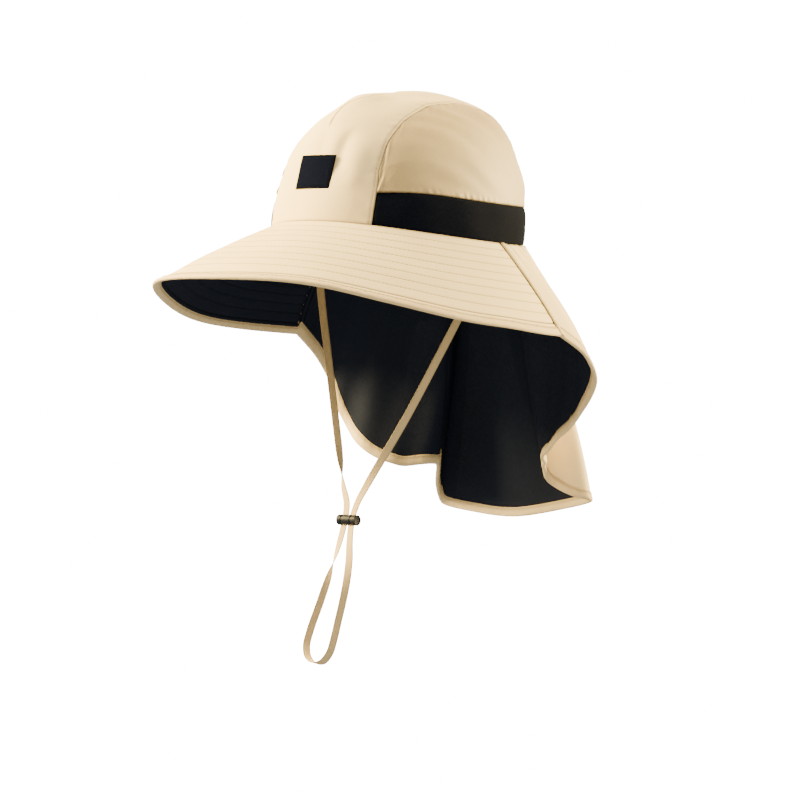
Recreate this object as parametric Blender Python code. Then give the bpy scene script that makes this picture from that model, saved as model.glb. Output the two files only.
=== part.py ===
"""A flap sun hat: a three-panel crown, a wide brim, a long neck flap and a chin cord.

The hat faces -Y, +Z is up and the wearer's left is +X. The origin is the middle of the head opening.
Everything is in metres. Angles go round the crown's foot: 0 is the front, 90 the wearer's left side,
180 the back and negative angles the wearer's right side.
"""

import math

import bmesh
import bpy
from mathutils import Vector

# Crown
HEAD_WIDTH = 0.1708          # outside of the crown's foot, side to side
HEAD_LENGTH = 0.2071         # outside of the crown's foot, front to back
CROWN_HEIGHT = 0.1122        # from the origin to the top of the crown
SIDE_POWER = 1.93            # the crown seen from the front: 2 is round, more is boxier
LENGTH_POWER = 3.16          # and seen from the side
DOME_LEAN = 0.0174           # the most that the crown's outline leans to the back
FOOT_TILT = 0.0073           # the foot is this much higher in front than at the sides
FOOT_ARCH = 0.0070           # and the front and back rise this much over the sides
FRONT_SEAM = 34.9            # angle of the front seams at the foot
BAND_FRONT = 0.0243          # height of the black band at its front ends
BAND_BACK = 0.0289           # and from the wearer's ears round the back
PATCH_WIDTH = 0.0307
PATCH_HEIGHT = 0.0243        # measured straight up
PATCH_LIFT = 0.0499          # the patch's middle over the origin
PATCH_SIDE = 0.0038          # the patch's middle beside the centre line

# Cloth and clearances
CLOTH = 0.0010               # each layer of cloth
TAPE = 0.0010                # the binding tape
BINDING_WIDTH = 0.0066       # how far the tape reaches in from the free edge
BINDING_NOSE = 0.45          # half height of the tape's rounded edge, as a share of its half thickness
GAP = 0.0003                 # clearance between neighbouring pieces

# Brim and flap
BRIM_SPREAD = 0.1062         # the front brim's reach out from the crown's foot
BRIM_DROP = 0.0666           # fall of the brim near its seam with the flap
BRIM_DROOP = 0.15            # share of the fall that comes as a curve
SEAM_ANGLE = 104.3           # where brim and flap are sewn together
FLAP_WIDTH = 0.1560          # between the two outer folds at the hem
FLAP_REACH = 0.1400          # from the origin back to the middle of the hem
FLAP_DROP = 0.2088           # from the origin down to the middle of the hem
HEM_ROLL = 0.026             # the hem hangs this much lower towards the wearer's right

# Chin cord and lock
TAPE_CORD_WIDTH = 0.0055
TAPE_CORD_THICKNESS = 0.0011
LOCK_LENGTH = 0.0177
LOCK_DIAMETER = 0.0078
LOCK_RIB = 0.0004            # depth of the grooves round the lock
STRAND_SPACING = 0.0066      # between the two strands in the lock
LOCK_GROOVE = 0.5            # place of each groove, as a share of half the lock's length

# How finely the pieces are divided
BRIM_STEPS = 36              # round the brim
BRIM_STEPS_DOWN = 4
FLAP_STEPS_PER_ROW = 3       # round the flap, for each row of its table
FLAP_STEPS_DOWN = 5
BAND_STEPS = 36
PANEL_STEPS = 8              # across the centre panel
FRONT_STEPS = 5              # up the centre panel's straight front edges
ARCH_STEPS = 14              # along the arched seams
BACK_STEPS = 4               # down the back of the centre panel
SIDE_STEPS = 6               # up the side panels
PATCH_STEPS = 6
PATCH_STEPS_UP = 4
LOCK_SIDES = 16
CORD_POINTS = 76             # points that the cord's curve is read at
TURN_STEP = 0.6              # degrees to each side, for the skirt's direction round
DOWN_STEP = 0.01             # and the share of a rib, for its direction down
LENGTH_STEPS = 20            # pieces that a rib's length is summed from

# The crown's outline leans back by a share of DOME_LEAN at a share of the crown's height.
LEAN_TABLE = [
    # height, lean
    (0.00, 0.00),
    (0.15, 0.12),
    (0.35, 0.37),
    (0.58, 0.57),
    (0.78, 0.91),
    (0.87, 1.00),
    (0.93, 0.85),
    (1.00, 0.22),
]

# The seam round a side panel, front to back: degrees round the crown and share of its height.
SIDE_SEAM_TABLE = [
    # angle, height
    (37.1, 0.40),
    (41.3, 0.585),
    (45.8, 0.695),
    (53.4, 0.793),
    (69.0, 0.883),
    (90.5, 0.917),
    (113.5, 0.929),
    (128.2, 0.903),
    (136.5, 0.847),
    (140.7, 0.745),
    (142.0, 0.58),
]

# The brim: from each angle at the foot it runs out towards its heading, in degrees too, with its reach
# as a share of BRIM_SPREAD and its fall as a share of BRIM_DROP.
BRIM_TABLE = [
    # angle, heading, reach, fall
    (0.0, 0.0, 1.000, 0.617),
    (20.0, 21.2, 0.921, 0.638),
    (40.0, 42.3, 0.740, 0.794),
    (60.0, 62.4, 0.618, 0.926),
    (82.0, 77.4, 0.521, 0.967),
    (104.3, 94.5, 0.445, 0.997),
]

# The flap, one row for each fold or turn of its free edge, from the brim's seam to the middle of the
# back. Side is a share of half of FLAP_WIDTH, back of FLAP_REACH and down of FLAP_DROP, for the free
# edge and for the belly, the point that the cloth bends round on its way down from the crown.
FLAP_TABLE = [
    # angle, edge_side, edge_back, edge_down, belly_side, belly_back, belly_down
    (110.6, 1.715, 0.406, 0.409, 1.445, 0.361, 0.198),
    (116.2, 1.682, 0.496, 0.496, 1.480, 0.475, 0.256),
    (122.3, 1.519, 0.491, 0.619, 1.470, 0.600, 0.330),
    (130.5, 1.212, 0.457, 0.726, 1.310, 0.715, 0.365),
    (142.0, 0.859, 0.550, 0.801, 0.900, 0.800, 0.407),
    (154.0, 0.673, 0.743, 0.820, 0.450, 0.750, 0.407),
    (161.0, 0.710, 0.820, 0.874, 0.490, 0.795, 0.435),
    (165.5, 0.865, 0.890, 0.917, 0.660, 0.905, 0.457),
    (169.0, 0.966, 0.946, 0.934, 0.715, 0.975, 0.467),
    (172.0, 0.940, 0.995, 0.945, 0.640, 1.005, 0.473),
    (175.5, 0.650, 1.022, 0.969, 0.380, 1.000, 0.485),
    (180.0, 0.000, 1.000, 1.000, 0.000, 0.960, 0.500),
]

# The chin cord's route from the wearer's left to the wearer's right, in metres: down from the head
# opening, through the lock, round the loop and up again.
CORD_ROUTE = [
    (0.0822, 0.0062, 0.0040),
    (0.0815, 0.0055, -0.0030),
    (0.0791, 0.0027, -0.0160),
    (0.0742, -0.0028, -0.0347),
    (0.0654, -0.0107, -0.0582),
    (0.0551, -0.0189, -0.0836),
    (0.0325, -0.0345, -0.1346),
    (0.0216, -0.0414, -0.1563),
    (0.0113, -0.0477, -0.1769),
    (0.0053, -0.0521, -0.1912),
    (0.0038, -0.0552, -0.2015),
    (0.0041, -0.0567, -0.2063),
    (0.0061, -0.0604, -0.2180),
    (0.0090, -0.0642, -0.2301),
    (0.0108, -0.0689, -0.2451),
    (0.0110, -0.0746, -0.2632),
    (0.0105, -0.0777, -0.2733),
    (0.0100, -0.0818, -0.2864),
    (0.0085, -0.0849, -0.2964),
    (0.0034, -0.0869, -0.3029),
    (-0.0043, -0.0871, -0.3041),
    (-0.0115, -0.0859, -0.3004),
    (-0.0154, -0.0834, -0.2927),
    (-0.0149, -0.0802, -0.2824),
    (-0.0111, -0.0742, -0.2630),
    (-0.0070, -0.0671, -0.2400),
    (-0.0038, -0.0601, -0.2175),
    (-0.0030, -0.0567, -0.2065),
    (-0.0030, -0.0552, -0.2016),
    (-0.0042, -0.0520, -0.1914),
    (-0.0117, -0.0476, -0.1773),
    (-0.0213, -0.0408, -0.1552),
    (-0.0325, -0.0329, -0.1295),
    (-0.0558, -0.0169, -0.0751),
    (-0.0671, -0.0091, -0.0485),
    (-0.0747, -0.0033, -0.0273),
    (-0.0790, 0.0020, -0.0140),
    (-0.0815, 0.0055, -0.0030),
    (-0.0822, 0.0062, 0.0040),
]
LOCK_PLACE = (0.0004, -0.0554, -0.2020)
CORD_SLANT = 17.1            # degrees that the cord leans to the front on its way down


def clear_scene():
    for item in list(bpy.data.objects):
        bpy.data.objects.remove(item, do_unlink=True)


def make_material(name, colour, roughness):
    """One plain cloth or plastic material; the colour is linear."""
    material = bpy.data.materials.new(name)
    material.use_nodes = True
    shader = material.node_tree.nodes["Principled BSDF"]
    shader.inputs["Base Color"].default_value = (*colour, 1.0)
    shader.inputs["Roughness"].default_value = roughness
    shader.inputs["Metallic"].default_value = 0.0
    return material


def smooth(rows, column, key):
    """A smooth curve through one column of a table whose first column is the key."""
    last = len(rows) - 1
    index = 0
    while index < last - 1 and key > rows[index + 1][0]:
        index += 1

    def rise(first):
        first = min(max(first, 0), last - 1)
        run = rows[first + 1][0] - rows[first][0]
        return (rows[first + 1][column] - rows[first][column]) / run

    def slope(at):
        if at == 0 or at == last:
            return rise(at)
        before = rows[at][0] - rows[at - 1][0]
        after = rows[at + 1][0] - rows[at][0]
        return (rise(at - 1) * after + rise(at) * before) / (before + after)

    run = rows[index + 1][0] - rows[index][0]
    share = (key - rows[index][0]) / run
    start, end = rows[index][column], rows[index + 1][column]
    square, cube = share * share, share * share * share
    return ((2 * cube - 3 * square + 1) * start
            + (cube - 2 * square + share) * run * slope(index)
            + (3 * square - 2 * cube) * end
            + (cube - square) * run * slope(index + 1))


def mirrored(rows):
    """A table for one side, from angle 0 on, made into one for both sides."""
    other = [(-row[0], *row[1:]) for row in reversed(rows[1:])]
    return other + list(rows)


def foot_height(angle):
    """Height of the crown's foot: highest in front and a little arched."""
    turn = math.cos(math.radians(angle))
    return FOOT_TILT * turn + FOOT_ARCH * turn * turn


def dome(direction, depth=0.0):
    """The crown's point for a direction from the origin, depth metres inside its outer face.

    The direction is read on a round dome of the crown's three sizes, as an angle and a share of its
    height, and the point there is moved to the crown's own section at that height.
    """
    half_width = HEAD_WIDTH / 2 - depth
    half_length = HEAD_LENGTH / 2 - depth
    height = CROWN_HEIGHT - depth
    unit = Vector((direction[0] / half_width, direction[1] / half_length, direction[2] / height)).normalized()
    up = unit.z
    turn = math.atan2(unit.x, -unit.y)
    across = half_width * section(up, SIDE_POWER) * math.sin(turn)
    along = half_length * section(up, LENGTH_POWER) * math.cos(turn)
    lean = DOME_LEAN * smooth(LEAN_TABLE, 1, up)
    return Vector((across, lean - along, height * up + foot_height(math.degrees(turn)) * (1 - up)))


def section(up, power):
    """The crown's half width as a share of its foot's, at a share of its height."""
    return (1 - up ** power) ** (1 / power)


def ray(angle, up):
    """The direction to the crown at an angle and a share of the crown's height."""
    radius = section(up, 2)
    turn = math.radians(angle)
    return Vector((HEAD_WIDTH / 2 * radius * math.sin(turn),
                   -HEAD_LENGTH / 2 * radius * math.cos(turn),
                   CROWN_HEIGHT * up))


def spread(start, end, steps):
    return [start + (end - start) * step / steps for step in range(steps + 1)]


def draw_in(grid, sides, distance):
    """Moves the edges of a grid of points in along its rows and columns, to leave a seam's gap."""
    moved = [[point.copy() for point in row] for row in grid]
    if "first_row" in sides:
        for place in range(len(grid[0])):
            moved[0][place] += (grid[1][place] - grid[0][place]).normalized() * distance
    if "last_row" in sides:
        for place in range(len(grid[0])):
            moved[-1][place] += (grid[-2][place] - grid[-1][place]).normalized() * distance
    if "first_column" in sides:
        for row, source in zip(moved, grid):
            row[0] += (source[1] - source[0]).normalized() * distance
    if "last_column" in sides:
        for row, source in zip(moved, grid):
            row[-1] += (source[-2] - source[-1]).normalized() * distance
    return moved


def add_object(name, bm, material, crease=40.0):
    """Makes one closed, outward-facing mesh object with smooth faces and sharp edges."""
    bmesh.ops.recalc_face_normals(bm, faces=bm.faces)
    mesh = bpy.data.meshes.new(name)
    bm.to_mesh(mesh)
    bm.free()
    mesh.shade_smooth()
    mesh.set_sharp_from_angle(angle=math.radians(crease))
    mesh.materials.append(material)
    piece = bpy.data.objects.new(name, mesh)
    bpy.context.scene.collection.objects.link(piece)
    return piece


def add_quad(bm, corners, turned=False):
    """Two triangles. Layers that lie on each other cut their quads along the same diagonal."""
    if turned:
        corners = corners[1:] + corners[:1]
    bm.faces.new((corners[0], corners[1], corners[2]))
    bm.faces.new((corners[0], corners[2], corners[3]))


def cloth_wall(name, outer, inner, material):
    """A closed wall between two grids of points with the same rows and columns."""
    bm = bmesh.new()
    skins = [[[bm.verts.new(point) for point in row] for row in grid] for grid in (outer, inner)]
    rows, columns = len(outer), len(outer[0])
    for skin in skins:
        for row in range(rows - 1):
            for column in range(columns - 1):
                add_quad(bm, (skin[row][column], skin[row][column + 1],
                              skin[row + 1][column + 1], skin[row + 1][column]), row >= (rows - 1) / 2)
    border = [(0, column) for column in range(columns - 1)]
    border += [(row, columns - 1) for row in range(rows - 1)]
    border += [(rows - 1, column) for column in range(columns - 1, 0, -1)]
    border += [(row, 0) for row in range(rows - 1, 0, -1)]
    for here, there in zip(border, border[1:] + border[:1]):
        add_quad(bm, (skins[0][here[0]][here[1]], skins[0][there[0]][there[1]],
                      skins[1][there[0]][there[1]], skins[1][here[0]][here[1]]))
    return add_object(name, bm, material)


def swept_wall(name, outlines, inward, material):
    """A closed bar from a list of closed outlines with the same number of points.

    Inward holds the places in an outline where its side runs in from the free edge, whose quads are
    cut the other way to match the cloth beside them.
    """
    bm = bmesh.new()
    loops = [[bm.verts.new(point) for point in outline] for outline in outlines]
    count = len(loops[0])
    for index, (first, second) in enumerate(zip(loops, loops[1:])):
        for place in range(count):
            following = (place + 1) % count
            add_quad(bm, (first[place], first[following], second[following], second[place]),
                     (index >= (len(loops) - 1) / 2) != (place in inward))
    ends = bmesh.ops.contextual_create(bm, geom=[edge for edge in bm.edges if edge.is_boundary
                                                 and edge.verts[0] in loops[0]
                                                 and edge.verts[1] in loops[0]])["faces"]
    ends += bmesh.ops.contextual_create(bm, geom=[edge for edge in bm.edges if edge.is_boundary])["faces"]
    bmesh.ops.triangulate(bm, faces=ends)
    return add_object(name, bm, material)


def band_share(angle):
    """The black band's upper edge as a share of the crown's height over the foot at an angle."""
    away = min(angle, 360 - angle) - FRONT_SEAM
    share = min(away / FRONT_SEAM, 1.0)
    height = BAND_FRONT + (BAND_BACK - BAND_FRONT) * math.sin(math.pi / 2 * share)
    return height / (CROWN_HEIGHT - foot_height(angle))


def front_seam(up):
    """The front seam's angle at a share of the crown's height, from the foot to the arched seam."""
    angle, height = SIDE_SEAM_TABLE[0]
    return FRONT_SEAM + (angle - FRONT_SEAM) * up / height


def make_crown_band(material):
    """The band runs from the front seam on one side round the back to the other."""
    top_front = front_seam(band_share(FRONT_SEAM))
    grids = []
    for depth in (0.0, CLOTH):
        grid = []
        for place in spread(-1.0, 1.0, BAND_STEPS):
            top = band_share(180 + place * (180 - top_front))
            column = []
            for share in (0.0, 0.5, 1.0):
                angle = 180 + place * (180 - front_seam(share * top))
                column.append(dome(ray(angle, share * top), depth))
            grid.append(column)
        grids.append(draw_in(grid, ("first_row", "last_row", "last_column"), GAP / 2))
    return cloth_wall("crown_band", *grids, material)


def seam_rays(side):
    """Rays round one side of the centre panel, up the front and over the top."""
    ups = spread(0.0, SIDE_SEAM_TABLE[0][1], FRONT_STEPS)
    return [ray(side * front_seam(up), up) for up in ups] + arch_rays(side)[1:]


def arch_rays(side):
    """Rays along the arched seam between the centre panel and a side panel."""
    keyed = [(place, *row) for place, row in enumerate(SIDE_SEAM_TABLE)]
    places = spread(0.0, len(keyed) - 1.0, ARCH_STEPS)
    return [ray(side * smooth(keyed, 1, place), smooth(keyed, 2, place)) for place in places]


def centre_panel_rays():
    """Rows of rays: chords from seam to seam, then rows that drop to the band's edge at the back."""
    shares = spread(0.0, 1.0, PANEL_STEPS)
    rows = [[left.lerp(right, share) for share in shares]
            for left, right in zip(seam_rays(1), seam_rays(-1))]
    back = SIDE_SEAM_TABLE[-1][0]
    last = rows[-1]
    low = [ray(angle, band_share(angle)) for angle in spread(back, 360 - back, PANEL_STEPS)]
    for fall in spread(0.0, 1.0, BACK_STEPS)[1:]:
        rows.append([upper.lerp(lower, fall) for upper, lower in zip(last, low)])
    return rows


def make_crown_panel(material):
    """The centre panel runs from the front of the foot over the top to the band at the back."""
    grids = []
    for depth in (0.0, CLOTH):
        grid = [[dome(direction, depth) for direction in row] for row in centre_panel_rays()]
        grids.append(draw_in(grid, ("last_row", "first_column", "last_column"), GAP / 2))
    return cloth_wall("crown_panel", *grids, material)


def make_side_panel(name, side, material):
    """A side panel between the band's upper edge and the arched seam."""
    front, back = front_seam(band_share(FRONT_SEAM)), SIDE_SEAM_TABLE[-1][0]
    arch = arch_rays(side)
    grids = []
    for depth in (0.0, CLOTH):
        grid = []
        for angle, top in zip(spread(front, back, len(arch) - 1), arch):
            low = ray(side * angle, band_share(angle))
            grid.append([dome(low.lerp(top, share), depth) for share in spread(0.0, 1.0, SIDE_STEPS)])
        grids.append(draw_in(grid, ("first_row", "last_row", "first_column", "last_column"), GAP / 2))
    return cloth_wall(name, *grids, material)


def make_front_patch(material):
    """The bare woven patch, which lies on the centre panel."""
    grids = []
    for depth in (-GAP - CLOTH, -GAP):
        grid = []
        for across in spread(-0.5, 0.5, PATCH_STEPS):
            column = []
            for up in spread(-0.5, 0.5, PATCH_STEPS_UP):
                side = PATCH_SIDE + PATCH_WIDTH * across
                height = (PATCH_LIFT + PATCH_HEIGHT * up - foot_height(0)) / (CROWN_HEIGHT - foot_height(0))
                angle = math.degrees(math.asin(side / (HEAD_WIDTH / 2 * section(height, SIDE_POWER))))
                column.append(dome(ray(angle, height), depth))
            grid.append(column)
        grids.append(grid)
    return cloth_wall("front_patch", *grids, material)


def foot_point(angle):
    """The crown's foot at an angle."""
    turn = math.radians(angle)
    return Vector((HEAD_WIDTH / 2 * math.sin(turn), -HEAD_LENGTH / 2 * math.cos(turn), foot_height(angle)))


def brim_rib(angle):
    """Top, belly and edge points of a line straight down the brim."""
    heading = math.radians(math.copysign(smooth(BRIM_TABLE, 1, abs(angle)), angle))
    out = Vector((math.sin(heading), -math.cos(heading), 0.0))
    top = foot_point(angle)
    reach = BRIM_SPREAD * smooth(mirrored(BRIM_TABLE), 2, angle)
    fall = BRIM_DROP * smooth(mirrored(BRIM_TABLE), 3, angle)
    belly = top + out * (reach / 2) - Vector((0.0, 0.0, fall * (1 - BRIM_DROOP) / 2))
    edge = top + out * reach - Vector((0.0, 0.0, fall))
    return top, belly, edge


def flap_rows():
    """The flap's table in metres, with the brim's last rib as its first row."""
    top, belly, edge = brim_rib(SEAM_ANGLE)
    rows = [(SEAM_ANGLE, edge.x, edge.y, edge.z, belly.x, belly.y, belly.z)]
    half = FLAP_WIDTH / 2
    scales = (half, FLAP_REACH, -FLAP_DROP, half, FLAP_REACH, -FLAP_DROP)
    for row in FLAP_TABLE:
        rows.append((row[0], *[value * scale for value, scale in zip(row[1:], scales)]))
    inner = rows[-2]
    rows.append((360 - inner[0], -inner[1], inner[2], inner[3], -inner[4], inner[5], inner[6]))
    return rows


FLAP_ROWS = flap_rows()


def flap_rib(angle):
    """Top, belly and edge points of a line down the flap, on either side of the back."""
    side = 1 if angle > 0 else -1
    top = foot_point(angle)
    values = [smooth(FLAP_ROWS, column, abs(angle)) for column in range(1, 7)]
    edge = Vector((side * values[0], values[1], values[2]))
    belly = Vector((side * values[3], values[4], values[5]))
    seam_share = (180 - abs(angle)) / (180 - SEAM_ANGLE)
    roll = HEM_ROLL * (1 - seam_share ** 4)
    edge.z += roll * edge.x
    return top, belly, edge


def skirt_rib(angle):
    """Brim and flap as one ring of ribs round the crown; the angle may pass 180."""
    if angle > 180:
        angle -= 360
    if abs(angle) <= SEAM_ANGLE:
        return brim_rib(angle)
    return flap_rib(angle)


def along_rib(rib, share):
    top, belly, edge = rib
    return top * (1 - share) ** 2 + belly * 2 * share * (1 - share) + edge * share ** 2


def skirt_start(angle):
    """How far the skirt's upper edge stands off the crown's foot: out and a little down."""
    turn = math.radians(angle)
    return Vector((math.sin(turn), -math.cos(turn), -0.6)) * (GAP * 1.5)


def skirt_point(angle, share, lift):
    """A point of the brim or flap, lifted off the middle of its two layers towards the outside."""
    rib = skirt_rib(angle)
    around = along_rib(skirt_rib(angle + TURN_STEP), share) - along_rib(skirt_rib(angle - TURN_STEP), share)
    down = along_rib(rib, min(share + DOWN_STEP, 1.0)) - along_rib(rib, max(share - DOWN_STEP, 0.0))
    normal = down.cross(around).normalized()
    return along_rib(rib, share) + skirt_start(angle) * (1 - share) + normal * lift


def rib_length(angle):
    """Length of a rib, measured square to the free edge."""
    rib = skirt_rib(angle)
    points = [along_rib(rib, share) for share in spread(0.0, 1.0, LENGTH_STEPS)]
    length = sum((second - first).length for first, second in zip(points, points[1:]))
    edge_run = (skirt_rib(angle + TURN_STEP)[2] - skirt_rib(angle - TURN_STEP)[2]).normalized()
    down = (points[-1] - points[-2]).normalized()
    return length * down.cross(edge_run).length


def skirt_angles(part):
    """The stations round the brim or the flap, with the seam's gap left at both ends."""
    seam_gap = math.degrees(GAP / 2 / (HEAD_WIDTH / 2))
    if part == "brim":
        return spread(-SEAM_ANGLE + seam_gap, SEAM_ANGLE - seam_gap, BRIM_STEPS)
    keys = [SEAM_ANGLE + seam_gap] + [row[0] for row in FLAP_TABLE]
    angles = []
    for first, second in zip(keys, keys[1:]):
        angles += spread(first, second, FLAP_STEPS_PER_ROW)[:-1]
    return angles + [180.0] + [360 - angle for angle in reversed(angles)]


def skirt_shares(angle, steps):
    """Shares down a rib: even to the binding, then one more at the cloth's own edge."""
    length = rib_length(angle)
    binding = 1 - BINDING_WIDTH / length
    return spread(0.0, binding, steps) + [1 - (TAPE + GAP) / length]


def make_layer(name, part, steps, near, far, material):
    """One layer of the brim or flap, between two heights over the middle of the cloth."""
    grids = []
    for lift in (far, near):
        grid = []
        for angle in skirt_angles(part):
            grid.append([skirt_point(angle, share, lift) for share in skirt_shares(angle, steps)])
        grids.append(grid)
    return cloth_wall(name, *grids, material)


def make_binding(name, part, material):
    """The tape folded round the free edge, as a channel over both layers."""
    inside = GAP / 2 + CLOTH + GAP
    outside = inside + TAPE
    sections = []
    for angle in skirt_angles(part):
        length = rib_length(angle)
        start = 1 - BINDING_WIDTH / length
        floor = 1 - TAPE / length
        nose = outside * BINDING_NOSE
        outline = [(start, outside), (floor, outside), (1.0, nose), (1.0, -nose),
                   (floor, -outside), (start, -outside), (start, -inside), (floor, -inside),
                   (floor, inside), (start, inside)]
        sections.append([skirt_point(angle, share, lift) for share, lift in outline])
    shares = [share for share, lift in outline]
    inward = [place for place, share in enumerate(shares) if shares[(place + 1) % len(shares)] < share]
    return swept_wall(name, sections, inward, material)


def cord_points():
    """Evenly spaced points of a smooth curve through the cord's route."""
    travelled = [0.0]
    for first, second in zip(CORD_ROUTE, CORD_ROUTE[1:]):
        travelled.append(travelled[-1] + (Vector(second) - Vector(first)).length)
    keyed = [(run, *point) for run, point in zip(travelled, CORD_ROUTE)]
    return [Vector([smooth(keyed, column, run) for column in (1, 2, 3)])
            for run in spread(0.0, travelled[-1], CORD_POINTS - 1)]


def flatness(place):
    """1 in the lock, where the cord lies flat across it, falling to 0 some way off on either side."""
    away = abs(place.z - LOCK_PLACE[2])
    share = min(max((away - LOCK_DIAMETER) / (3 * LOCK_LENGTH), 0.0), 1.0)
    return 0.5 + 0.5 * math.cos(math.pi * share)


def cord_tilt(place, along):
    """Turns the cord's width from straight up to across the lock there, and off the slant elsewhere."""
    slant = math.radians(CORD_SLANT)
    off_slant = Vector((0.0, math.cos(slant), -math.sin(slant)))
    across_lock = Vector((1.0 if along.z < 0 else -1.0, 0.0, 0.0))
    quarter = math.pi / 2 * flatness(place)
    wanted = across_lock * math.sin(quarter) + off_slant * math.cos(quarter)
    wanted = (wanted - along * wanted.dot(along)).normalized()
    upright = (Vector((0.0, 0.0, 1.0)) - along * along.z).normalized()
    return math.atan2(upright.cross(wanted).dot(along), upright.dot(wanted))


def make_chin_cord(material):
    """The flat cord: a stadium in section, turned to lie flat across the lock."""
    curve = bpy.data.curves.new("chin_cord", "CURVE")
    curve.dimensions = "3D"
    curve.twist_mode = "Z_UP"
    curve.extrude = (TAPE_CORD_WIDTH - TAPE_CORD_THICKNESS) / 2
    curve.bevel_depth = TAPE_CORD_THICKNESS / 2
    curve.bevel_resolution = 0
    curve.use_fill_caps = True
    places = cord_points()
    spline = curve.splines.new("POLY")
    spline.points.add(len(places) - 1)
    for index, (point, place) in enumerate(zip(spline.points, places)):
        along = (places[min(index + 1, len(places) - 1)] - places[max(index - 1, 0)]).normalized()
        point.co = (*place, 1.0)
        point.tilt = cord_tilt(place, along)
    curve.materials.append(material)
    piece = bpy.data.objects.new("chin_cord", curve)
    bpy.context.scene.collection.objects.link(piece)
    return piece


def make_cord_lock(material):
    """A ribbed barrel across the cord, with one slot for the two strands."""
    rib = LOCK_RIB / (LOCK_LENGTH / 2)
    half = [
        # share of half the length, groove depth as a share of LOCK_RIB
        (LOCK_GROOVE - 2 * rib, 0.0), (LOCK_GROOVE, 1.0), (LOCK_GROOVE + 2 * rib, 0.0),
        (1.0 - rib, 0.0), (1.0, 1.0),
    ]
    rings = [(-share, groove) for share, groove in reversed(half)] + half
    bm = bmesh.new()
    previous = None
    for share, groove in rings:
        radius = LOCK_DIAMETER / 2 - LOCK_RIB * groove
        ring = []
        for side in range(LOCK_SIDES):
            turn = 2 * math.pi * side / LOCK_SIDES
            ring.append(bm.verts.new((LOCK_LENGTH / 2 * share, radius * math.cos(turn),
                                      radius * math.sin(turn))))
        if previous:
            for side in range(LOCK_SIDES):
                following = (side + 1) % LOCK_SIDES
                bm.faces.new((previous[side], previous[following], ring[following], ring[side]))
        else:
            bm.faces.new(ring)
        previous = ring
    bm.faces.new(previous)
    lock = add_object("cord_lock", bm, material, crease=30.0)
    lock.location = LOCK_PLACE
    lock.rotation_euler = (math.radians(-CORD_SLANT), 0.0, 0.0)

    slot = (STRAND_SPACING + TAPE_CORD_WIDTH + 4 * GAP, TAPE_CORD_THICKNESS + 4 * GAP, 2 * LOCK_DIAMETER)
    cutter = bmesh.new()
    bmesh.ops.create_cube(cutter, size=1.0)
    bmesh.ops.scale(cutter, vec=slot, verts=cutter.verts)
    tool = add_object("lock_slot_cutter", cutter, material)
    tool.location = lock.location
    tool.rotation_euler = lock.rotation_euler
    tool.hide_render = True
    tool.display_type = "WIRE"
    cut = lock.modifiers.new("strand slot", "BOOLEAN")
    cut.operation = "DIFFERENCE"
    cut.solver = "EXACT"
    cut.object = tool
    return lock


def main():
    clear_scene()
    twill = make_material("beige quick-dry twill", (0.75, 0.61, 0.42), 0.8)
    nylon = make_material("thin beige nylon", (0.72, 0.56, 0.36), 0.5)
    tape = make_material("beige binding tape", (0.66, 0.52, 0.35), 0.75)
    mesh = make_material("black mesh band", (0.012, 0.012, 0.013), 0.85)
    lining = make_material("black lining cloth", (0.010, 0.010, 0.012), 0.8)
    woven = make_material("black woven patch", (0.012, 0.012, 0.015), 0.6)
    plastic = make_material("black moulded plastic", (0.02, 0.02, 0.022), 0.35)
    cord = make_material("beige flat cord", (0.68, 0.54, 0.37), 0.7)

    inner, outer = GAP / 2, GAP / 2 + CLOTH
    make_crown_panel(twill)
    make_side_panel("side_panel_left", 1, nylon)
    make_side_panel("side_panel_right", -1, nylon)
    make_crown_band(mesh)
    make_front_patch(woven)
    make_layer("brim_top", "brim", BRIM_STEPS_DOWN, inner, outer, twill)
    make_layer("brim_lining", "brim", BRIM_STEPS_DOWN, -outer, -inner, lining)
    make_binding("brim_binding", "brim", tape)
    make_layer("flap_outer", "flap", FLAP_STEPS_DOWN, inner, outer, twill)
    make_layer("flap_lining", "flap", FLAP_STEPS_DOWN, -outer, -inner, lining)
    make_binding("flap_binding", "flap", tape)
    make_chin_cord(cord)
    make_cord_lock(plastic)


main()
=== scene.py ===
"""The looks of the flap sun hat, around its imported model.

The hat faces -Y, +Z is up and the wearer's left is +X. Everything is in metres. Angles go round the
crown's foot in degrees: 0 is the front, 90 the wearer's left side and 180 the back.
"""

import math

import bpy
import numpy as np
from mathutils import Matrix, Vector

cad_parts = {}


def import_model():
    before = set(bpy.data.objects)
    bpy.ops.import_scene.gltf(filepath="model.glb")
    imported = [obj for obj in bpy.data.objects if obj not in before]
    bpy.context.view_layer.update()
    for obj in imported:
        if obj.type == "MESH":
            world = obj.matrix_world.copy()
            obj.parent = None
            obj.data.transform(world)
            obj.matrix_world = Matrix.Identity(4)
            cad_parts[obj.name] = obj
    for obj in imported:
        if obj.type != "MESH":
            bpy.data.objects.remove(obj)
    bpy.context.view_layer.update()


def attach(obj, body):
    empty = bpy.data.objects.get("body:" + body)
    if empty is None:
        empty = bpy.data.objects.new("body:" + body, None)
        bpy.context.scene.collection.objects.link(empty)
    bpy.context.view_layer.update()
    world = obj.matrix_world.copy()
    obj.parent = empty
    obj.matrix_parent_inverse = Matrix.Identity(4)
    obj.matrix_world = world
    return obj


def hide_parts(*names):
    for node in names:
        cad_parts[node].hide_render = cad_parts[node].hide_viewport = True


# The hat's sizes, as the part's source has them
HEAD_WIDTH = 0.1708
HEAD_LENGTH = 0.2071
CROWN_HEIGHT = 0.1122
SIDE_POWER = 1.93
LENGTH_POWER = 3.16
DOME_LEAN = 0.0174
FOOT_TILT = 0.0073
FOOT_ARCH = 0.0070
FRONT_SEAM = 34.9
BAND_FRONT = 0.0243
BAND_BACK = 0.0289
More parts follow.
